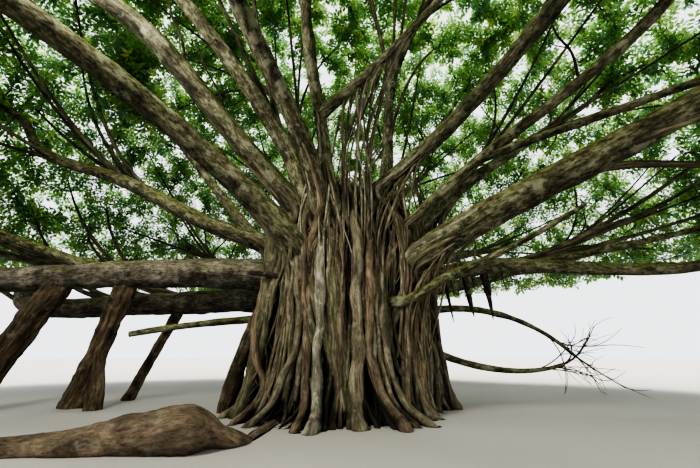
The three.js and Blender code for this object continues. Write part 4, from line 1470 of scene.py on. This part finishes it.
def grow_branches(mass, wood, dice):
    """Long slender branches that leave the bough well before its tip and run beside it into the mass."""
    bough, radius_at = limbs[BOUGHS[mass][0]]
    springs = (bough.at(np.array(BRANCH_SPRINGS)), bough.along(np.array(BRANCH_SPRINGS)))
    p = (dice.random((BRANCH_DRAWS, 3)) - 0.5) * TARGET_FIELD + centres[mass]
    fits = (dome_measure(p, 0.9 * CROWN_DEPTH) > 1) & (dome_measure(p, 0.45 * CROWN_DEPTH) < 1)
    p = p[fits & in_own_space(p, mass, 0.1)]
    taken = bough.at(np.array([0.9, 1.0]))
    branches = []
    for _ in range(BRANCH_TRIES):
        room = np.linalg.norm(p[:, None] - taken[None], axis=-1).min(axis=1)
        target = p[int(np.argmax(room))]
        if room.max() < BRANCH_SPACING:
            break
        taken = np.vstack([taken, target])
        spring = best_spring(springs, target, LEAST_TWIG, BRANCH_BEND_COST)
        if spring is None:
            continue
        branch = twig_from(spring, target)
        if not clear_of_limbs(branch.at(np.linspace(0.25, 1, 7)), mass).all():
            continue
        share = BRANCH_SPRINGS[int(np.argmin(np.linalg.norm(springs[0] - spring[0], axis=1)))]
        branches.append(branch)
        wood.append((branch, BRANCH_THICK_SHARE * float(radius_at(share)), BRANCH_TIP, 8))
        taken = np.vstack([taken, branch.at(np.array([0.5, 0.75]))])
    return branches


def fine_targets(mass, dice):
    """Places for fine twigs' tips through the mass's whole
    depth, each at least the fine spacing from the rest."""
    near = (dice.random((FINE_DRAWS, 3)) - 0.5) * TARGET_FIELD
    far = (np.random.default_rng(SEED + 500 + mass).random((CORNER_DRAWS, 3)) - 0.5) * CORNER_FIELD
    far = far[np.abs(far).max(axis=1) > TARGET_FIELD / 2]
    p = np.concatenate([near, far]) + centres[mass]
    fits = (dome_measure(p, 0.85 * CROWN_DEPTH) > 1) & (dome_measure(p, 0.25 + dips(p)) < 1)
    fits &= in_own_space(p, mass, -0.4 * MINGLING) & ~under_crown(p)
    kept = np.empty((0, 3))
    for q in p[fits]:
        if len(kept) == 0 or ((kept - q) ** 2).sum(1).min() > FINE_SPACING**2:
            kept = np.vstack([kept, q])
    return kept


def grow_fine(mass, grown, branches, wood, dice):
    """The fine twigs, from the place nearest to wood
    outwards, each sprung from wood that is there already."""
    bough = limbs[BOUGHS[mass][0]][0]
    nodes, ways = springs_of(grown + branches, np.linspace(0.3, 1, 7))
    on_bough = np.array(BOUGH_SPRINGS)
    nodes = np.concatenate([nodes, bough.at(on_bough)])
    ways = np.concatenate([ways, bough.along(on_bough)])
    targets = fine_targets(mass, dice)
    targets = targets[clear_of_limbs(targets, mass, True)]
    near_wood = np.linalg.norm(targets[:, None] - nodes[None], axis=-1).min(axis=1)
    fine = []
    for target in targets[np.argsort(near_wood)]:
        spring = best_spring((nodes, ways), target, FINE_LEAST)
        if spring is None:
            continue
        twig = twig_from(spring, target)
        if not clear_of_limbs(twig.at([0.5, 0.8]), mass).all():
            continue
        thick = FINE_RADIUS * (0.7 + 0.5 * min(twig.length, 2.4))
        fine.append(twig)
        wood.append((twig, thick, 0.4 * FINE_RADIUS, 3))
        nodes = np.concatenate([nodes, twig.at([0.4, 0.7, 1.0])])
        ways = np.concatenate([ways, twig.along([0.4, 0.7, 1.0])])
    return fine


def shoots_along(lines, dice):
    """Roots, headings and lengths of the leafy shoots that stand off each twig all round."""
    roots = []
    ways = []
    for line in lines:
        count = max(3, int(line.length / SHOOT_EVERY))
        shares = np.linspace(0.16, 1, count)
        along = line.along(shares)
        side = square_to(along, UP)
        up = np.cross(side, along)
        turn = GOLDEN_TURN * np.arange(count) + dice.random() * ANY_PHASE
        lean = np.where(np.arange(count) == count - 1, 0.15, 0.75 + 0.35 * dice.random(count))
        way = all_round(along, all_round(side, up, turn), lean)
        way[:, 2] += SHOOT_LIFT
        roots.append(line.at(shares))
        ways.append(way / np.linalg.norm(way, axis=1, keepdims=True))
    roots = np.concatenate(roots)
    ways = np.concatenate(ways)
    return roots, ways, between(SHOOT_LENGTHS, dice.random(len(roots)))


def shoots_on(mass, lines, dice, hollows):
    """The shoots that keep to the mass's own space, clear
    of the limbs and, by a share, out of the hollows."""
    roots, ways, lengths = shoots_along(lines, dice)
    tips = roots + lengths[:, None] * ways
    keep = in_own_space(tips, mass, -MINGLING) & ~under_crown(tips)
    keep &= dome_measure(tips, 0.16 + hollows * dips(tips)) < 1
    middles = roots + 0.5 * lengths[:, None] * ways
    keep &= clear_of_limbs(tips, mass, True) & clear_of_limbs(middles, mass, True)
    return roots[keep], ways[keep], lengths[keep]


twig_bark = bark("bark_on_twigs", (0.030, 0.026, 0.016), (0.085, 0.075, 0.046), (0.18, 0.165, 0.11),
                 lichen=0.0)
SHOOT_SIDES = 3
shoot_turn = TURN * np.arange(SHOOT_SIDES) / SHOOT_SIDES
SHOOT_FACES = np.array([[0, 1, 3], [1, 2, 3], [2, 0, 3]])


def add_shoots(joined, roots, ways, lengths):
    """Each shoot is a slim three-sided spike."""
    side = square_to(ways, UP)
    up = np.cross(side, ways)
    start = roots[:, None] + SHOOT_RADIUS * all_round(side[:, None], up[:, None], shoot_turn[None, :])
    tip = (roots + lengths[:, None] * ways)[:, None]
    points = np.concatenate([start, tip], axis=1).reshape(-1, 3)
    faces = (SHOOT_FACES[None] + (SHOOT_SIDES + 1) * np.arange(len(roots))[:, None, None]).reshape(-1, 3)
    joined.add(points, faces, points)


# The leaves: leathery, egg-shaped with a short point, folded a little at the midrib, set a short
# stalk's length off each shoot all round it, with no stalk drawn. They are glossy mid to bright green and let
# the light through.
LEAVES_ON_SHOOT = 13
LEAF_LENGTHS = (0.118, 0.165)
LEAF_WIDTH_SHARE = 0.62
LEAF_WIDEST = 0.40
LEAF_FOLD = 0.10
LEAF_DROOP = 0.22
LEAF_TILT = 0.55
LEAF_ROUGHNESS = 0.42
LIGHT_THROUGH = 0.5
STALK = 0.02
LEAF_OUTLINE = np.array([
    [0.0, 0.0, 0.0],
    [LEAF_WIDEST, LEAF_WIDTH_SHARE / 2, LEAF_FOLD],
    [1.0, 0.0, -0.04],
    [LEAF_WIDEST, -LEAF_WIDTH_SHARE / 2, LEAF_FOLD],
])
LEAF_FACES = np.array([[0, 2, 1], [0, 3, 2]])

# Each green's name, its colour, and the colour of the light that comes through it.
LEAF_GREENS = [
    ("leaf_deep", (0.055, 0.118, 0.042), (0.19, 0.39, 0.11)),
    ("leaf_mid", (0.082, 0.172, 0.055), (0.29, 0.54, 0.15)),
    ("leaf_fresh", (0.118, 0.226, 0.070), (0.39, 0.66, 0.19)),
    ("leaf_bright", (0.175, 0.300, 0.082), (0.52, 0.79, 0.24)),
    ("leaf_yellow", (0.270, 0.360, 0.090), (0.67, 0.85, 0.28)),
    ("leaf_cool", (0.066, 0.146, 0.082), (0.24, 0.49, 0.24)),
]
GREEN_SHARES = (0.22, 0.28, 0.22, 0.10, 0.04, 0.14)


def leaf_green(name, colour, glow):
    """A leaf's finish: half of it a satin surface, half of it light that comes through."""
    material = bpy.data.materials.new(name)
    material.use_nodes = True
    nodes = material.node_tree.nodes
    links = material.node_tree.links
    shader = nodes["Principled BSDF"]
    shader.inputs["Base Color"].default_value = (*colour, 1)
    shader.inputs["Roughness"].default_value = LEAF_ROUGHNESS
    through_light = nodes.new("ShaderNodeBsdfTranslucent")
    through_light.inputs["Color"].default_value = (*glow, 1)
    both = nodes.new("ShaderNodeMixShader")
    both.inputs["Fac"].default_value = LIGHT_THROUGH
    links.new(shader.outputs["BSDF"], both.inputs[1])
    links.new(through_light.outputs["BSDF"], both.inputs[2])
    links.new(both.outputs["Shader"], nodes["Material Output"].inputs["Surface"])
    return material


leaf_greens = [leaf_green(*row) for row in LEAF_GREENS]


def add_leaves(joined, roots, ways, lengths, dice):
    """Leaves all round each shoot, from near its root to its tip, one shade of green to a shoot."""
    shoots = len(roots)
    order = np.arange(LEAVES_ON_SHOOT)[None, :]
    shares = 0.14 + 0.86 * (order + 0.5 * dice.random((shoots, LEAVES_ON_SHOOT))) / LEAVES_ON_SHOOT
    place = roots[:, None] + (shares * lengths[:, None])[..., None] * ways[:, None]
    side = square_to(ways, UP)
    up = np.cross(side, ways)
    turn = GOLDEN_TURN * order + ANY_PHASE * dice.random((shoots, 1))
    lean = 1.15 - 0.75 * shares**3 + 0.25 * (dice.random(shares.shape) - 0.5)
    aim = all_round(ways[:, None], all_round(side[:, None], up[:, None], turn), lean)
    aim[..., 2] -= LEAF_DROOP
    aim = aim.reshape(-1, 3)
    aim /= np.linalg.norm(aim, axis=1, keepdims=True)
    face = UP + LEAF_TILT * (dice.random(aim.shape) - 0.5)
    across = square_to(aim, face)
    normal = np.cross(across, aim)
    count = len(aim)
    length = between(LEAF_LENGTHS, dice.random(count))
    root = place.reshape(-1, 3) + STALK * aim
    axes = np.stack([aim, across, normal], axis=1)
    points = root[:, None] + length[:, None, None] * (LEAF_OUTLINE @ axes)
    faces = (LEAF_FACES[None] + len(LEAF_OUTLINE) * np.arange(count)[:, None, None]).reshape(-1, 3)
    shade = dice.choice(len(LEAF_GREENS), size=shoots, p=GREEN_SHARES)
    joined.add(points.reshape(-1, 3), faces, None, np.repeat(shade, LEAVES_ON_SHOOT * len(LEAF_FACES)))


FINE_TWIG_RING_EVERY = 0.42
TWIG_RING_EVERY = 0.3
for mass, row in enumerate(BOUGHS):
    dice = np.random.default_rng(SEED + 7 * mass)
    grown, wood = grow_wood(mass)
    branches = grow_branches(mass, wood, dice)
    fine = grow_fine(mass, grown, branches, wood, dice)
    twigs = Joined()
    for number, (line, thick, thin, sides) in enumerate(wood):
        ring_every = FINE_TWIG_RING_EVERY if sides == 3 else TWIG_RING_EVERY
        shares = np.linspace(0, 1, max(4, int(line.length / ring_every)))
        twigs.add(*tube(line, shares, thick + (thin - thick) * shares, sides, None, number))
    shoots = [shoots_on(mass, fine, dice, 1.0), shoots_on(mass, grown, dice, 0.0)]
    roots, ways, lengths = (np.concatenate(both) for both in zip(*shoots))
    add_shoots(twigs, roots, ways, lengths)
    leaves = Joined()
    add_leaves(leaves, roots, ways, lengths, dice)
    twigs_piece = twigs.made("twigs_" + row[0], [twig_bark])
    leaves_piece = leaves.made("leaves_" + row[0], leaf_greens, False)
    for piece, slot in ((twigs_piece, "bough_bark"), (leaves_piece, "foliage")):
        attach(piece, "root")
        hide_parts("foliage_" + row[0])


# The ends of the lesser limbs: a limb's last wood splits into seven twigs,
# and each of those into slim sprays, in the same bark as the crown's twigs.
# They bear leaves on the forks and are bare on the two limbs that droop.
END_TWIGS = 7
TWIGS_AT_TIP = 3
END_LENGTHS = (0.8, 1.5)
END_SPREAD = 1.1
END_TWIG_TIP = 0.008
SPRAY_SHARES = (0.35, 0.55, 0.75, 0.95)
SPRAY_SPREAD = 1.5
SPRAY_RADIUS = 0.009
SPRAY_THINNING = 0.005
OFF_GROUND = 0.004

# The limbs whose ends run out in twigs, and whether those bear leaves.
LIMB_ENDS = [
    ("left_low_fork", True),
    ("left_middle_fork", True),
    ("front_fork", True),
    ("right_slender_fork", True),
    ("right_low_fork", True),
    ("right_drooping_limb", False),
    ("right_ground_limb", False),
]

for name, leafy in LIMB_ENDS:
    dice = np.random.default_rng(SEED + 300 + len(name))
    line, radius_at = limbs[name]
    tip, way = line.at(0.985), line.along(1.0)
    twigs = Joined()
    fine = []
    for k in range(END_TWIGS):
        off = dice.random(3) - 0.5
        aim = way + END_SPREAD * (off - way * np.dot(off, way)) + [0, 0, 0.12]
        aim = aim / np.linalg.norm(aim)
        length = between(END_LENGTHS, dice.random())
        from_here = tip if k < TWIGS_AT_TIP else line.at(0.98 - 0.035 * k)
        twig = bent(from_here, from_here + 0.45 * length * way, from_here + length * aim, 24)
        thick = float(radius_at(1.0)) * (0.75 if k < 2 else 0.4)
        shares = np.linspace(0, 1, 9)
        twigs.add(*tube(twig, shares, thick + (END_TWIG_TIP - thick) * shares, 7, None, k))
        for share in SPRAY_SHARES:
            root, ahead = twig.at(share), twig.along(share)
            side = ahead + SPRAY_SPREAD * (dice.random(3) - 0.5)
            side = side / np.linalg.norm(side)
            reach = 0.35 + 0.45 * dice.random()
            spray = bent(root, root + 0.4 * reach * ahead, root + reach * side, 20)
            shares = np.linspace(0, 1, 5)
            twigs.add(*tube(spray, shares, SPRAY_RADIUS - SPRAY_THINNING * shares, 4, None, k))
            fine.append(spray)
    pieces = []
    if leafy:
        roots, ways, lengths = shoots_along(fine, dice)
        inside = dome_measure(roots + lengths[:, None] * ways, 0.3) < 1
        roots, ways, lengths = roots[inside], ways[inside], lengths[inside]
        add_shoots(twigs, roots, ways, lengths)
        leaves = Joined()
        add_leaves(leaves, roots, ways, lengths, dice)
        pieces.append((leaves.made("leaves_" + name, leaf_greens, False), "foliage"))
    for points in twigs.points:
        points[:, 2] = np.maximum(points[:, 2], OFF_GROUND)
    pieces.append((twigs.made("twigs_" + name, [twig_bark]), "bough_bark"))
    for piece, slot in pieces:
        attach(piece, "root")
        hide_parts(name)


# The ground and the light: a plain floor and an even pale sky, bright
# enough to shine through the leaves, with a soft lamp behind the tree and
# low soft panels that reach in under the crown. None of it is the tree.
FLOOR_REACH = 90.0
FLOOR_SIDES = 96
FLOOR_HEIGHT = -0.002
FLOOR_COLOUR = (0.44, 0.42, 0.39, 1)
FLOOR_ROUGHNESS = 0.95
SKY_COLOUR = (0.94, 0.96, 1.0, 1)
SKY_STRENGTH = 1.3
LAMP_STRENGTH = 5.0
LAMP_SOFTNESS = math.radians(20)
LAMP_COLOUR = (1.0, 0.96, 0.88)
LAMP_TURNED = (math.radians(-30), math.radians(16), 0)
PANEL_COLOUR = (1.0, 0.95, 0.86)

# Each panel's place, what it faces, its power in watts and its width in metres.
PANELS = [
    ((-3.8, -5.4, 5.2), (0, 0, 1.5), 330, 1.6),
    ((4.5, -7.5, 1.6), (2.5, 0, 4.5), 90, 3.0),
]

floor_material = bpy.data.materials.new("plain_floor")
floor_material.use_nodes = True
floor_shader = floor_material.node_tree.nodes["Principled BSDF"]
floor_shader.inputs["Base Color"].default_value = FLOOR_COLOUR
floor_shader.inputs["Roughness"].default_value = FLOOR_ROUGHNESS
corners = np.linspace(0, TURN, FLOOR_SIDES, endpoint=False)
rim = [(FLOOR_REACH * math.cos(a), FLOOR_REACH * math.sin(a), FLOOR_HEIGHT) for a in corners]
floor_mesh = bpy.data.meshes.new("floor")
floor_mesh.from_pydata(rim, [], [list(range(FLOOR_SIDES))])
floor_mesh.materials.append(floor_material)
floor = bpy.data.objects.new("floor", floor_mesh)
bpy.context.collection.objects.link(floor)

world = bpy.data.worlds.new("pale_sky")
bpy.context.scene.world = world
world.use_nodes = True
sky = world.node_tree.nodes["Background"]
sky.inputs["Color"].default_value = SKY_COLOUR
sky.inputs["Strength"].default_value = SKY_STRENGTH

sun_data = bpy.data.lights.new("soft_lamp", "SUN")
sun_data.energy = LAMP_STRENGTH
sun_data.angle = LAMP_SOFTNESS
sun_data.color = LAMP_COLOUR
sun = bpy.data.objects.new("soft_lamp", sun_data)
bpy.context.collection.objects.link(sun)
sun.rotation_euler = LAMP_TURNED

for place, aim, power, width in PANELS:
    panel_data = bpy.data.lights.new("soft_panel", "AREA")
    panel_data.energy = power
    panel_data.size = width
    panel_data.color = PANEL_COLOUR
    panel = bpy.data.objects.new("soft_panel", panel_data)
    bpy.context.collection.objects.link(panel)
    panel.location = place
    panel.rotation_euler = (Vector(aim) - Vector(place)).to_track_quat("-Z", "Y").to_euler()
    panel.visible_camera = False

bpy.context.scene.view_settings.view_transform = "AgX"
bpy.context.scene.view_settings.look = "AgX - High Contrast"
bpy.context.scene.view_settings.exposure = 0.4
